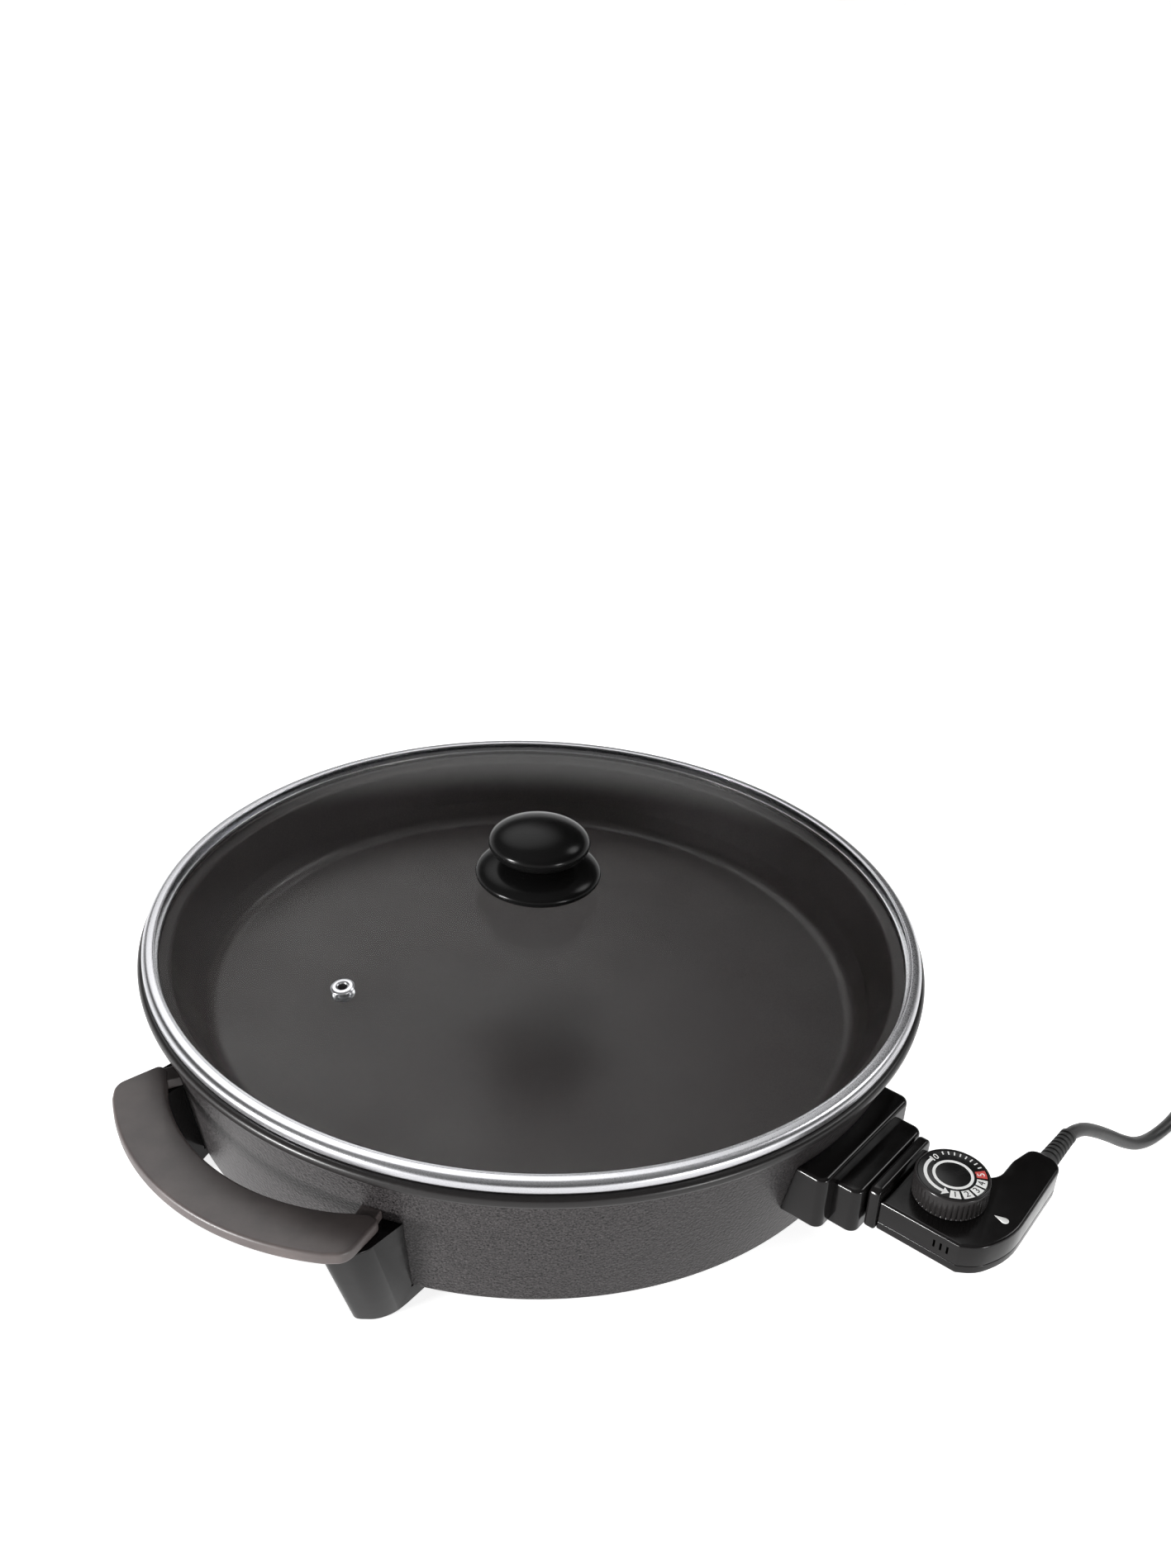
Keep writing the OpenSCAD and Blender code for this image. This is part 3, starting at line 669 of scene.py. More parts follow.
def make_tie():
    """A moulded strap round one place of the coil's turns, thin underneath."""
    inner, outer, low, high, thick, wide = 31.5, 45.5, 0.0, 14.0, 0.8, 8.0
    near, far, roof, sole = inner - thick, outer + thick, high + thick, low + 0.05
    loop = rounded([(near, low, 0.8), (far, low, 0.8), (far, roof, 2.4), (near, roof, 2.4)])
    hole = rounded([(inner, sole, 0.4), (outer, sole, 0.4), (outer, high, 1.8), (inner, high, 1.8)])
    verts, faces, n = [], [], len(loop)
    for y in (-wide / 2, wide / 2):
        verts += [(x, y, z) for x, z in loop] + [(x, y, z) for x, z in hole]
    for k in range(n):
        m = (k + 1) % n
        faces += [[k, m, n + m, n + k], [2 * n + k, 3 * n + k, 3 * n + m, 2 * n + m],
                  [k, 2 * n + k, 2 * n + m, m], [n + k, n + m, 3 * n + m, 3 * n + k]]
    at = Matrix.Translation((*COIL_AT, 0)) @ spin(60)
    piece = finish_mesh("cord_tie_strap", mm(verts), faces, MAT["tie_plastic"], 30, at)
    return put(piece, "thermostat", "tie_plastic", "cord_tie")


def make_cord():
    """The lead, its coil and its tail as one tube, with the sleeve, the plug and the tie."""
    route = smooth_route(LEAD + coil_line() + TAIL[1:])
    lead = tube("mains_lead", route, CORD_R, MAT["cord_sheath"])
    put(lead, "thermostat", "cord_sheath", "cord", "cord_coil", "cord_tail")
    make_strain_relief()
    make_plug() + [make_tie()]


make_cord()


# ------------ pan and cabinet

FLOOR_Z, UNDER_Z = 52.0, 49.0  # pan floor, above and below
RIM_R, RIM_TOP, RIM_EDGE = 212.5, 91.5, 209.0
SHEET = 1.5  # thickness of the cabinet's wall


def cabinet_at(z):
    """Radius of the cabinet's outer face at a height, in millimetres."""
    return 193.9 + 13.7 * (z - 12.5) / 73.5


def paint(piece, material, test):
    """Gives a second material to the faces whose centre passes a test, in millimetres."""
    piece.data.materials.append(material)
    index = len(piece.data.materials) - 1
    for face in piece.data.polygons:
        if test(face.center / MM):
            face.material_index = index


def make_pan():
    """Flat floor, rounded foot, sloping wall, a ledge under the lid and a rolled rim."""
    inner = rounded([
        (172.5, FLOOR_Z, 0), (178.5, FLOOR_Z, 9), (185.5, 63.5, 5), (196, 86.1, 3), (202.2, 87.6, 1.2),
        (203.9, RIM_TOP, 1.6), (RIM_EDGE, RIM_TOP, 0),
    ], closed=False, step=6)
    outer = rounded([
        (RIM_EDGE, RIM_TOP, 0), (RIM_R, RIM_TOP, 2.6), (RIM_R, 85.2, 2.6), (208.7, 85.2, 0.6),
        (208.7, 89.4, 1.6), (205, 89.2, 1.2), (203.4, 84.6, 1.2), (197.8, 83.6, 1.5), (185.4, 59.4, 3),
        (180, UNDER_Z, 5), (172.5, UNDER_Z, 0),
    ], closed=False, step=15)
    floor = [(r, FLOOR_Z) for r in (0, 30, 60, 90, 120, 150)]
    under = [(r, UNDER_Z) for r in (140, 100, 60, 30, 0)]
    pan = revolve("griddle_pan", mm(floor + inner + outer[1:] + under), MAT["nonstick_coating"], 256)
    paint(pan, MAT["rim_enamel"], lambda c: math.hypot(c.x, c.y) > 204.2 and c.z > 84.5)
    return put(pan, "base", "nonstick_coating", "pan")


def make_cabinet():
    """Conical sheet wall with a rounded lower bead and a lip for the cover, open behind the socket."""
    wall = [(cabinet_at(z), z) for z in (86, 80, 70, 60, 50, 40, 30, 20, 15, 12.5)]
    bead = [
        (193.75, 11.6), (193.3, 10.9), (192.6, 10.3), (191.8, 10), (190.9, 10), (190.3, 10.4), (190, 11),
        (189.6, 12),
    ]
    lip = [(181, 12), (181, 13.2), (190.9, 13.2), (191.6, 13.8), (cabinet_at(15) - SHEET, 15)]
    back = [(cabinet_at(z) - SHEET, z) for z in (20, 40, 60, 86)]
    shell = revolve("cabinet_wall", mm(wall + bead + lip + back), MAT["hammertone_paint"], 256, closed=True)
    cut(shell, [block((180, -23, 35.5), (210, 23, 52.5))])
    return put(shell, "base", "hammertone_paint", "base_shell")


def make_cover():
    """Flat closing sheet with two pressed rings and three screws."""
    above_ring = [(-4, 11.8), (-2.4, 11.55), (-1.2, 11.2), (1.2, 11.2), (2.4, 11.55), (4, 11.8)]
    below_ring = [(4.2, 10.8), (2.6, 10.55), (1.2, 10.2), (-1.2, 10.2), (-2.6, 10.55), (-4.2, 10.8)]
    line = [(0, 11.8)]
    line += [(r + x, z) for r in (60, 120) for x, z in above_ring]
    line += [(188.6, 11.8), (189, 11.3), (188.6, 10.8)]
    line += [(r + x, z) for r in (120, 60) for x, z in below_ring]
    line += [(0, 10.8)]
    cover = revolve("bottom_cover_sheet", mm(line), MAT["cover_sheet"], 200)
    put(cover, "base", "cover_sheet", "bottom_cover")
    screws = [
        screw("cover_screw", 4, 2.15, 2, 10, at_mm(*turned(155, a), 10.75) @ flip())
        for a in (60, 180, 300)
    ]
    return put(join("cover_screw_set", screws), "base", "zinc_steel", "cover_screws")


def screw(name, head_r, head_h, shank_r, length, matrix, slot="zinc_steel"):
    """Pan-head screw with a cross recess. Its head stands on z 0 and its shank goes down."""
    line = [
        (0, head_h), (head_r * 0.55, head_h), (head_r * 0.85, head_h * 0.82), (head_r, head_h * 0.45),
        (head_r, 0), (shank_r, 0),
    ]
    for k in range(int(length / 1.2)):
        z = -0.4 - 1.2 * k
        line += [(shank_r, z), (shank_r * 0.82, z - 0.5), (shank_r, z - 0.9)]
    line += [(shank_r * 0.5, -length), (0, -length)]
    piece = revolve(name, mm(line), MAT[slot], 24)
    w, half, low, high = 0.16 * head_r, 0.6 * head_r, 0.4 * head_h, 1.6 * head_h
    cut(piece, [block((-half, -w, low), (half, w, high)), block((-w, -half, low), (w, half, high))])
    piece.data.transform(matrix)
    return piece


# ------------ handles, legs and socket

HANDLE_R, HANDLE_W, HANDLE_C = 135.0, 26.0, 113.3  # outer radius, width and the arc's own centre
HANDLE_Z, HANDLE_T = 65.0, 7.0
SWEEP = 34  # half of the grip's arc, in degrees
POCKET_SWEEP, POCKET_WALL = 25, 3.5
LUG_ANGLE = 20
LEG_TOP = 57.95
LEG_NEAR = 65  # where a leg's inner side stands, across from the handle's middle
LEG_W, LEG_TOE_W, LEG_TOE_H = 18, 14, 10  # width, width at the worktop, and where it's full again
LEG_EDGE = 5.5  # radius of a leg's upright edges
LEG_FOOT_R, LEG_LEAN = 111.7, 16.3  # outer face at the foot, about the arc's centre, and how far it leans out
LEGS = (
    ("leg_front_left", -90, -1), ("leg_front_right", -90, 1),
    ("leg_rear_left", 90, 1), ("leg_rear_right", 90, -1),
)


def handle_outline():
    """The grip seen from above, about its own arc's centre, counterclockwise."""
    inner = HANDLE_R - HANDLE_W
    outer_end, inner_end = turned(HANDLE_R, SWEEP), turned(inner, SWEEP)
    bend = turned(inner, SWEEP + 8)
    tip = [
        (*outer_end, 0), (outer_end[0] - 7, outer_end[1] + 7.5, 9), (bend[0], bend[1] + 6, 3.5),
        (*bend, 0), (*inner_end, 0),
    ]
    upper = rounded(tip, closed=False, step=6)
    lower = [(x, -y) for x, y in reversed(upper)]
    outside = arc(HANDLE_R, -SWEEP, SWEEP, 60)[1:-1]
    inside = arc(inner, SWEEP, -SWEEP, 60)[1:-1]
    return outside + upper + inside + lower


def make_handle(name, side, node):
    """Flat-topped grip with soft edges, hollow underneath, on two lugs."""
    bakelite = MAT["satin_bakelite"]
    place_it = spin(side) @ at_mm(HANDLE_C, 0, 0)
    low, high = (HANDLE_Z - HANDLE_T) * MM, HANDLE_Z * MM
    edges = {"top": 1.8 * MM, "bottom": 2.2 * MM, "steps": 6}
    grip = slab(name, mm(handle_outline()), low, high, bakelite, **edges, matrix=place_it, smooth=SOFT_SHARP)
    pocket = arc(HANDLE_R - POCKET_WALL, -POCKET_SWEEP, POCKET_SWEEP, 40)
    pocket += arc(HANDLE_R - HANDLE_W + POCKET_WALL, POCKET_SWEEP, -POCKET_SWEEP, 40)
    cut(grip, [slab("cutter", mm(pocket), low - 0.001, low + 0.003, None, 1 * MM, matrix=place_it)])
    outline = mm([(198, -5, 0.5), (215, -5, 1.5), (215, 5, 1.5), (198, 5, 0.5)])
    lugs = [
        slab("lug", outline, low, high - 0.001, bakelite, 0.0008, 0.0008, matrix=spin(side + a))
        for a in (-LUG_ANGLE, LUG_ANGLE)
    ]
    cut_to_cabinet(lugs)
    return put(join(name, [grip] + lugs), "base", "satin_bakelite", node)


def cut_to_cabinet(pieces, start=0):
    """Trims pieces back to the cabinet's outer face, from a height upwards."""
    line = mm([(0, start), (194.1, start), (194.1, 12.5), (cabinet_at(90) + 0.2, 90), (0, 90)])
    for piece in pieces:
        cut(piece, [revolve("cutter", line, None, 256)])


def leg_point(r, z, along, side):
    """A point of a leg: its outer face follows the handle's arc, its far side leans in at the foot."""
    width = LEG_TOE_W + (LEG_W - LEG_TOE_W) * min(1, z / LEG_TOE_H)
    over = max(0, LEG_EDGE - min(along, 1 - along) * width)
    face = LEG_FOOT_R + LEG_LEAN * z / LEG_TOP
    outward = min(1, max(0, (r - face + 12) / 12))
    r -= (LEG_EDGE - math.sqrt(LEG_EDGE * LEG_EDGE - over * over)) * outward
    across = LEG_NEAR + along * width
    return (HANDLE_C + math.sqrt(r * r - across * across), side * across, z)


def make_leg(node, turn, side):
    """Column under a handle's end, with a foot that tucks in under the cabinet."""
    corners = [
        (104, 0, 2), (LEG_FOOT_R, 0, 2.2), (LEG_FOOT_R + LEG_LEAN, LEG_TOP, 0.8), (90, LEG_TOP, 0.5),
        (90, 7.5, 1),
    ]
    outline, slices = rounded(corners, step=8), 28
    verts = []
    for k in range(slices + 1):
        along = (1 - math.cos(math.pi * k / slices)) / 2
        verts += [leg_point(r, z, along, side) for r, z in outline]
    count = len(outline)
    faces = [list(range(count)), [slices * count + i for i in range(count)][::-1]]
    for k in range(0, slices * count, count):
        for i in range(count):
            j = (i + 1) % count
            faces.append([k + i, k + count + i, k + count + j, k + j])
    if side < 0:
        faces = [face[::-1] for face in faces]
    leg = finish_mesh(node + "_column", mm(verts), faces, MAT["gloss_bakelite"], 40, spin(turn))
    cut_to_cabinet([leg], 9.8)
    return put(leg, "base", "gloss_bakelite", node)


def step_block(name, x0, x1, half, low, high, edge):
    """One step of the socket: a block with its outer corners and its upper edge rounded."""
    outline = mm([(x0, -half, 0.5), (x1, -half, 5), (x1, half, 5), (x0, half, 0.5)])
    edges = {"top": edge * MM, "bottom": 1.2 * MM, "steps": 5}
    return slab(name, outline, low * MM, high * MM, MAT["gloss_bakelite"], **edges, smooth=SOFT_SHARP)


def make_socket():
    """Two glossy steps, wide then narrow, with an open cavity for the plug."""
    wide = step_block("socket_block", 190, 215.5, 41, 36, 66, 2.2)
    cut_to_cabinet([wide])
    narrow = step_block("narrow", 212, 229, 31, 35, 60.5, 2.0)
    for piece in (wide, narrow):
        cut(piece, [block((180, -19, 37.1), (240, 19, 50.9))])
    return put(join("socket_block", [wide, narrow]), "base", "gloss_bakelite", "socket_housing")


# ------------ lid

DOME_Z, GLASS_T, EDGE_Z, EDGE_R = 118.0, 4.0, 96.6, 204
SPHERE_R = (EDGE_R**2 + (DOME_Z - EDGE_Z)**2) / (2 * (DOME_Z - EDGE_Z))
BORE_R = 3.2  # the hole for the knob's screw


def dome_at(r):
    """Height of the glass's upper face at a radius, in millimetres."""
    return DOME_Z - SPHERE_R + math.sqrt(SPHERE_R**2 - r * r)


def at_vent(r=130, angle=-96.5):
    """The vent's place on the glass, square to its face."""
    tilt = Matrix.Rotation(math.asin(r / SPHERE_R), 4, "Y")
    return spin(angle) @ at_mm(r, 0, dome_at(r)) @ tilt


def make_lid_glass():
    """Domed glass with a flat edge, and bores for the knob's screw and the vent."""
    radii = [EDGE_R * math.sin(math.pi / 2 * k / 44) for k in range(45)]
    line = [(max(BORE_R, r), dome_at(r)) for r in radii]
    line += [(206.4, 96.5), (208, 96.1), (208.4, 95.2), (208.4, 94), (207.9, 93.3), (204, 92.9)]
    line += [(max(BORE_R, min(r, 203.4)), dome_at(r) - GLASS_T) for r in reversed(radii)]
    glass = revolve("lid_glass_dome", mm(line), MAT["lid_glass"], 256, closed=True)
    cut(glass, [drill(4, -10, 10, at_vent(), 48)])
    return put(glass, "lid", "lid_glass", "lid_glass")


def make_lid_rim():
    """Rolled steel channel round the glass: a flat flange, a rounded edge and a turned-under lip."""
    line = rounded([
        (203, 98.0, 0.3), (203.6, 98.4, 0.3), (204.3, 98.1, 0.2), (204.7, 98.2, 0.2), (208.2, 98.1, 3),
        (210, 96.0, 2.4), (210, 92.6, 1.2), (208.9, 91.75, 0.5), (204.2, 91.6, 0.4), (202.9, 91.3, 0.4),
        (202.6, 90, 0.2), (201.8, 90, 0.2), (201.8, 91.9, 0.4), (204.4, 92.4, 0.4), (208.9, 92.75, 0.5),
        (208.9, 96.2, 0.5), (203.4, 97.2, 0.2),
    ], step=20)
    rim = revolve("lid_rim_channel", mm(line), MAT["rim_steel"], 288, closed=True, smooth=45)
    return put(rim, "lid", "rim_steel", "lid_rim")


def make_vent():
    """Rolled eyelet, its flange turned over the glass above and below."""
    line = rounded([
        (2.4, -5.2, 0.2), (5.4, -5.2, 0.3), (5.7, -4.1, 0.2), (3.8, -4.1, 0.1), (3.8, 0.05, 0.1),
        (5.9, 0.05, 0.1), (6, 0.7, 0.3), (5, 1.35, 0.5), (3.5, 1.5, 0.5), (2.4, 0.9, 0.6),
    ], step=20)
    vent = revolve("steam_vent", mm(line), MAT["rim_steel"], 64, closed=True, matrix=at_vent())
    return put(vent, "lid", "rim_steel", "vent_eyelet")


def lens_line(r, half_h, mid, start, end, steps):
    """Part of an ellipse's edge, from one height to another, for a knob's tier."""
    a0, a1 = math.asin((start - mid) / half_h), math.asin((end - mid) / half_h)
    angles = [a0 + (a1 - a0) * k / steps for k in range(steps + 1)]
    return [(r * math.cos(a), mid + half_h * math.sin(a)) for a in angles]


def above(line):
    """Heights counted from the top of the glass, as heights from the worktop."""
    return mm([(p[0], p[1] + DOME_Z) for p in line])


def make_knob():
    """Glossy grip over a wider finger guard, on a rubber ring, screwed through the glass."""
    guard = [(2.7, 2), (25.6, 2.02)] + lens_line(34, 8.9, 7.5, 2.3, 14.7, 40)
    guard += [(17.6, 15.2), (16.4, 15.4), (2.7, 15.4)]
    piece = revolve("knob_finger_guard", above(guard), MAT["knob_bakelite"], 128, closed=True)
    put(piece, "lid", "knob_bakelite", "knob_guard")
    grip = [(2.55, 27.5), (2.55, 15.5), (8.6, 15.5), (9.6, 15.6)]
    grip += lens_line(27.3, 10.8, 25.7, 15.9, 36.4, 48) + [(0, 36.48), (0, 28.5)]
    piece = revolve("knob_grip_top", above(grip), MAT["knob_bakelite"], 128, closed=True)
    put(piece, "lid", "knob_bakelite", "knob_grip")
    upper = [(2.7, 0.02, 0), (13, 0.02, 0.7), (13, 1.92, 0.7), (2.7, 1.92, 0)]
    lower = [(2.7, -5.15, 0), (11, -5.15, 0.4), (11, -4.15, 0.4), (2.7, -4.15, 0)]
    washer = [(2.7, -6.2, 0), (10, -6.2, 0.4), (9.4, -5.4, 0.3), (8, -5.2, 0.2), (2.7, -5.2, 0)]
    for name, corners, slot, node in (
        ("knob_seat_ring", upper, "black_rubber", "knob_gasket"),
        ("inner_seat_ring", lower, "black_rubber", "inner_gasket"),
        ("knob_washer_disc", washer, "rim_steel", "knob_washer"),
    ):
        ring = revolve(name, above(rounded(corners, step=20)), MAT[slot], 64, closed=True)
        put(ring, "lid", slot, node)
    place_it = at_mm(0, 0, DOME_Z - 6.3) @ flip()
    fixing = screw("knob_fixing_screw", 5, 2.55, 2.5, 30.6, place_it, "rim_steel")
    put(fixing, "lid", "rim_steel", "knob_screw")


# ------------ thermostat and dial

PLUG_Z = 44.0  # height of the pins' and the probe's axes
SEAM_Z, CASE_TOP, CASE_BOTTOM = 42.7, 55.0, 37.7
CASE_OUTLINE = [
    (236, -22.5, 0.5), (277.5, -22.5, 3), (285.5, -17, 20), (293.5, 0, 44), (290.3, 62, 8),
    (273.5, 62, 6), (270.3, 47, 12), (270.5, 26, 11), (236, 25, 0.5),
]
CASE_SCREWS = [(243, -15.5), (284, 2), (280, 52)]
SCREW_SEAT = 40.05
CASE_HOLES = ((-13, 2.2), (0, 3.4), (13, 2.2))  # pin, probe and pin: their y and the hole's radius
NOSE_HOLES = ((-13, 3.3), (0, 3.4), (13, 3.3))
DIAL_AT = (258.0, 3.5)
AT_DIAL = at_mm(*DIAL_AT, 0)
ACROSS_X = Matrix(((0, 0, 1, 0), (1, 0, 0, 0), (0, 1, 0, 0), (0, 0, 0, 1)))  # x, y, z become y, z, x


def plug_bores(x0, x1, holes):
    """Cutters for the pins' and the probe's holes, from x0 to x1."""
    return [drill(r, 0, x1 - x0, heading(mm([(x0, y, PLUG_Z)])[0])) for y, r in holes]


def make_case():
    """Two moulded halves that meet in a fine groove; the upper one has three air slots."""
    outer = mm(CASE_OUTLINE)
    hollow = inset_corners(outer, 0.002)
    look = {"material": MAT["gloss_bakelite"], "steps": 6, "smooth": SOFT_SHARP}
    top = slab("case_upper", outer, SEAM_Z * MM, CASE_TOP * MM, top=0.0016, bottom=0.0004, **look)
    cuts = [slab("cutter", hollow, (SEAM_Z - 1) * MM, (CASE_TOP - 2) * MM, None, 0.001)]
    cuts += [block((264.5 + 3.4 * i, -24, 46.2), (265.6 + 3.4 * i, -19, 50.4)) for i in range(3)]
    cuts += plug_bores(235, 240, CASE_HOLES)
    cuts += [drill(4.05, -5, 5, heading(RELIEF_AT, 90)), drill(3.1, 43, 56, AT_DIAL)]
    put(cut(top, cuts, SOFT_SHARP), "thermostat", "gloss_bakelite", "case_top_half")
    low = slab("case_lower", outer, CASE_BOTTOM * MM, (SEAM_Z - 0.05) * MM, top=0.0004, bottom=0.0014, **look)
    cuts = [slab("cutter", hollow, (CASE_BOTTOM + 2) * MM, (SEAM_Z + 1) * MM, None, 0, 0.001)]
    cuts += plug_bores(235, 240, CASE_HOLES)
    cuts += [drill(2.9, 36, SCREW_SEAT + 0.05, at_mm(x, y, 0), 32) for x, y in CASE_SCREWS]
    put(cut(low, cuts, SOFT_SHARP), "thermostat", "gloss_bakelite", "case_bottom_half")
    screws = [
        screw("case_screw", 2.6, 2.0, 1.25, 9, at_mm(x, y, SCREW_SEAT) @ flip())
        for x, y in CASE_SCREWS
    ]
    put(join("case_screw_set", screws), "thermostat", "zinc_steel", "case_screws")


def facing_x(name, outline, x0, x1, edge):
    """A moulded plate across the X axis: outline is (y, z, corner radius), from x0 to x1."""
    look = {"top": edge * MM, "bottom": edge * MM, "matrix": ACROSS_X, "smooth": SOFT_SHARP}
    return slab(name, mm(outline), x0 * MM, x1 * MM, MAT["gloss_bakelite"], **look)


def make_plug_end():
    """Upright flange and the nose that enters the socket, with its bores."""
    outline = [(-25, 38, 2), (26, 38, 2), (26, 62, 4), (-25, 62, 4)]
    flange = facing_x("case_front_flange", outline, 230.2, 235.95, 1.4)
    cut(flange, plug_bores(229, 237, CASE_HOLES), SOFT_SHARP)
    put(flange, "thermostat", "gloss_bakelite", "case_flange")
    outline = [(-17.5, 38.1, 2), (17.5, 38.1, 2), (17.5, 49.9, 2), (-17.5, 49.9, 2)]
    nose = facing_x("plug_nose_block", outline, 206, 230.15, 0.8)
    cut(nose, plug_bores(205, 231, NOSE_HOLES), SOFT_SHARP)
    put(nose, "thermostat", "gloss_bakelite", "plug_nose")


def make_lens():
    """White teardrop with a softly domed top, its point towards the dial."""
    outline = mm([(279.8, 6)] + [(285.6 + x, 6 + y) for x, y in arc(2.1, -110, 110, 22)])
    lens = slab("pilot_window", outline, 53.8 * MM, 55.15 * MM, MAT["white_lens"], 0.0005, 0, 5, smooth=60)
    return put(lens, "thermostat", "white_lens", "pilot_lens")


FACE_Z, PRINT_Z, PRINT_TOP = 67.85, 67.86, 67.93  # the dial's face, and the print that stands on it
RIBS, RIB_DEPTH = 45, 0.85


def print_on(name, outline, material):
    """A thin printed mark on the dial's face."""
    return slab(name, mm(outline), PRINT_Z * MM, PRINT_TOP * MM, material, matrix=AT_DIAL)


def flat_ring(name, r0, r1, a0, a1, material):
    """A printed band between two radii and two angles."""
    steps = max(4, int(abs(a1 - a0) / 3))
    return print_on(name, arc(r1, a0, a1, steps) + arc(r0, a1, a0, steps), material)


def full_ring(name, r0, r1, material):
    """A printed band all the way round."""
    line = mm([(r0, FACE_Z), (r1, FACE_Z), (r1, PRINT_TOP), (r0, PRINT_TOP)])
    return revolve(name, line, material, 96, closed=True, matrix=AT_DIAL)


def numeral(figure, radius, angle, size, material, z):
    """One figure of the scale, its foot towards the dial's edge, its middle at a height."""
    curve = bpy.data.curves.new("figure", "FONT")
    curve.body = figure
    curve.size = size * MM
    curve.extrude = 0.03 * MM
    curve.align_x = "CENTER"
    curve.align_y = "CENTER"
    text = new_object("figure", curve)
    mesh = final_mesh(text)
    bpy.data.objects.remove(text)
    x, y = turned(radius, angle)
    mesh.transform(at_mm(DIAL_AT[0] + x, DIAL_AT[1] + y, z) @ spin(angle + 90))
    mesh.materials.clear()
    mesh.materials.append(material)
    return new_object("figure", mesh)


def dial_ribs(i, r, a):
    """The ribs of the dial's side, which is points 5 to 7 of its profile."""
    return r - RIB_DEPTH * MM * (0.5 - 0.5 * math.cos(RIBS * a)) ** 2 if 5 <= i <= 7 else r


def make_dial():
    """Ribbed knob, a recessed face, and its printed scale: off, a rising arrow and five settings."""
    line = mm([
        (3.05, 58), (13, 58), (13, 55.3), (17.0, 55.3), (17.5, 55.6), (17.85, 56.2), (17.85, 57), (18, 58),
        (18, 65.2), (17.85, 66.2), (17.85, 67.2), (17.6, 67.75), (17.2, 68), (16.95, 68), (16.7, 67.8),
        (16.6, 67.3), (0, 67.3),
    ])
    look = {"wave": dial_ribs, "matrix": AT_DIAL, "smooth": 60}
    knob = revolve("dial_grip", line, MAT["dial_plastic"], RIBS * 12, **look)
    put(knob, "dial", "dial_plastic", "dial_knob")
    face = mm([(0, FACE_Z), (16.3, FACE_Z), (16.55, 67.7), (16.55, 67.35), (0, 67.35)])
    disc = revolve("dial_face_disc", face, MAT["dial_print"], 96, matrix=AT_DIAL)
    put(disc, "dial", "dial_print", "dial_face")
    white, black, red = MAT["dial_white"], MAT["dial_print"], MAT["dial_red"]
    marks = [full_ring("ring", 8.3, 9.7, white), numeral("0", 13.5, 155, 4.8, white, 67.9)]
    marks.append(flat_ring("stem", 12.2, 13.8, 166, 277, white))
    marks.append(print_on("head", [turned(10.5, 276), turned(15.7, 276), turned(13.0, 288.5)], white))
    marks.append(flat_ring("tail", 11.4, 14.6, 164, 167.5, white))
    for figure, middle in (("1", 301), ("2", 326), ("3", 351), ("4", 376)):
        marks.append(flat_ring("box", 11.0, 15.9, middle - 9.9, middle + 9.9, white))
        marks.append(numeral(figure, 13.4, middle, 5.0, black, 67.95))
    marks.append(flat_ring("box", 11.0, 15.9, 391.5, 411, red))
    marks.append(numeral("5", 13.4, 401, 5.0, white, 67.95))
    marks += [flat_ring("tick", 13.6, 15.6, a - 1.2, a + 1.2, white) for a in range(60, 140, 11)]
    put(join("dial_scale", marks), "dial", "dial_print")


# ------------ building it


def build():
    """Every piece but the cord and what belongs to it."""
    make_pan()
    make_cabinet()
    make_cover()
    make_handle("handle_grip_front", -90, "handle_front")
    make_handle("handle_grip_rear", 90, "handle_rear")
    for node, turn, side in LEGS:
        make_leg(node, turn, side)
    make_socket()
    make_lid_glass()
    make_lid_rim()
    make_vent()
    make_knob()
    make_case()
    make_plug_end()
    make_lens()
    make_dial()


build()


# ------------ floor and light

FLOOR_HALF, FLOOR_GLOW = 30, 0.8
ROOM = 0.01
HORIZON = (0.28, 0.16, 1.0)    # pale below a height of the sky: none from, all from, brightness
OVERHEAD = (0.5, 1.0, 0.35)    # the same for the glow overhead
GLOWS = (                      # azimuth, height, inner and outer half angles in degrees, brightness
    (-58, 52, 1, 30, 2.6),
    (28, 42, 3, 13, 8.0),
)
SUNS = (                       # name, azimuth, height, strength and width in degrees
    ("front_left", 200, 4, 8.0, 14),
    ("front_right", 96, 4, 1.6, 12),
)


def make_floor():
    """A plain pale floor, far larger than the view."""
    bm = bmesh.new()
    bmesh.ops.create_grid(bm, x_segments=8, y_segments=8, size=FLOOR_HALF)
    mesh = bpy.data.meshes.new("floor")
    bm.to_mesh(mesh)
    bm.free()
    material = new_material(
        "floor_paper", (0.8, 0.8, 0.8), 0.7, Emission_Color=(1, 1, 1, 1), Emission_Strength=FLOOR_GLOW,
    )
    fibre = grain(material, 3 * MM, 4)
    bump(material, fibre, "Fac", 0.02 * MM)
    mesh.materials.append(material)
    new_object("floor", mesh)


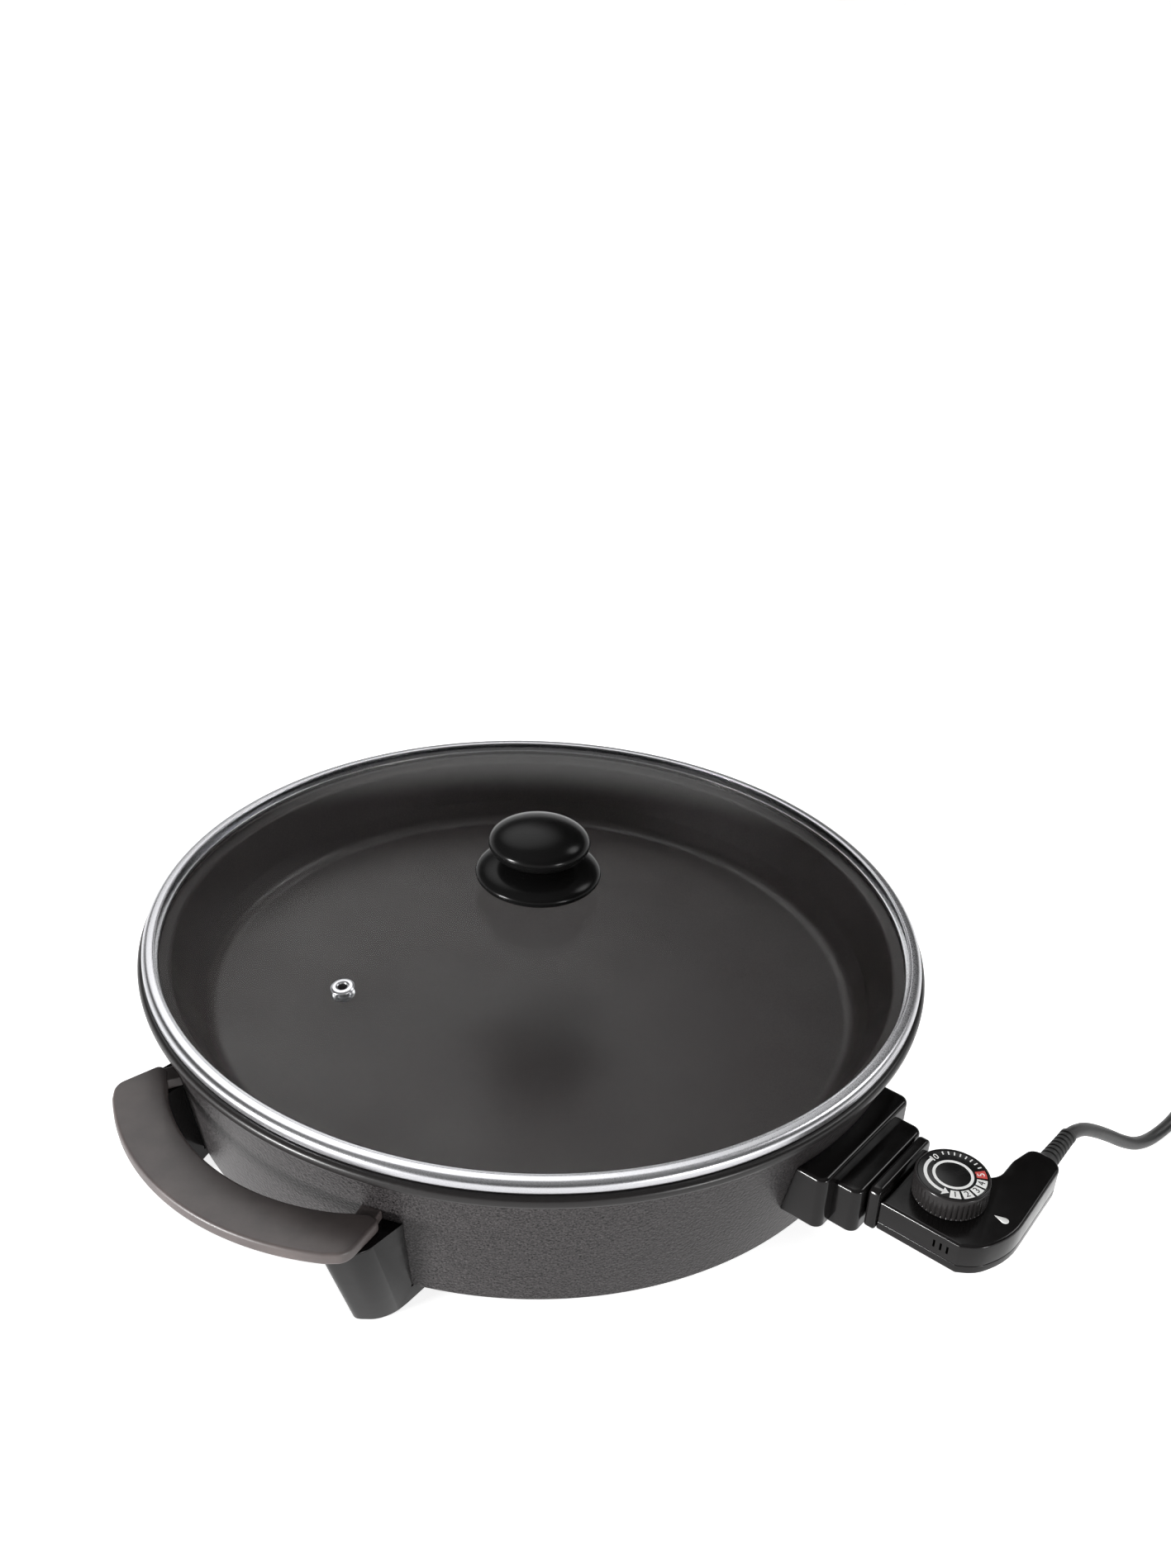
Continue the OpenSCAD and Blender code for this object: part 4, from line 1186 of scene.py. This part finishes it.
def sky_step(tree, value, start, end, amount):
    """Amount once a value is past end, nothing before start, a smooth change between."""
    node = tree.nodes.new("ShaderNodeMapRange")
    node.interpolation_type = "SMOOTHSTEP"
    for key, number in (("From Min", start), ("From Max", end), ("To Min", 0), ("To Max", amount)):
        node.inputs[key].default_value = number
    tree.links.new(value, node.inputs["Value"])
    return node.outputs["Result"]


def sky_glow(tree, where, azimuth, up, inner, outer, amount):
    """A soft round glow in the sky."""
    dot = tree.nodes.new("ShaderNodeVectorMath")
    dot.operation = "DOT_PRODUCT"
    dot.inputs[1].default_value = aim(azimuth, up)
    tree.links.new(where, dot.inputs[0])
    edges = math.cos(math.radians(outer)), math.cos(math.radians(inner))
    return sky_step(tree, dot.outputs["Value"], *edges, amount)


def make_world():
    """Dim room with a pale horizon, a glow overhead and soft glows round the sides."""
    world = bpy.data.worlds.new("studio")
    bpy.context.scene.world = world
    world.use_nodes = True
    tree = world.node_tree
    background = tree.nodes["Background"]
    background.inputs["Color"].default_value = (1, 1, 1, 1)
    where = tree.nodes.new("ShaderNodeTexCoord").outputs["Generated"]
    split = tree.nodes.new("ShaderNodeSeparateXYZ")
    tree.links.new(where, split.inputs["Vector"])
    parts = [sky_step(tree, split.outputs["Z"], *step) for step in (HORIZON, OVERHEAD)]
    parts += [sky_glow(tree, where, *glow) for glow in GLOWS]
    total = None
    for part in parts:
        both = tree.nodes.new("ShaderNodeMath")
        both.operation = "ADD"
        tree.links.new(part, both.inputs[0])
        if total:
            tree.links.new(total, both.inputs[1])
        else:
            both.inputs[1].default_value = ROOM
        total = both.outputs["Value"]
    tree.links.new(total, background.inputs["Strength"])


def soft_sun(name, azimuth, up, strength, spread):
    """A wide distant lamp."""
    data = bpy.data.lights.new(name, "SUN")
    data.energy = strength
    data.angle = math.radians(spread)
    light = new_object(name, data)
    light.rotation_euler = aim(azimuth, up).to_track_quat("Z", "Y").to_euler()


make_floor()
make_world()
for sun in SUNS:
    soft_sun(*sun)
bpy.context.scene.view_settings.view_transform = "Standard"

bpy.context.view_layer.update()
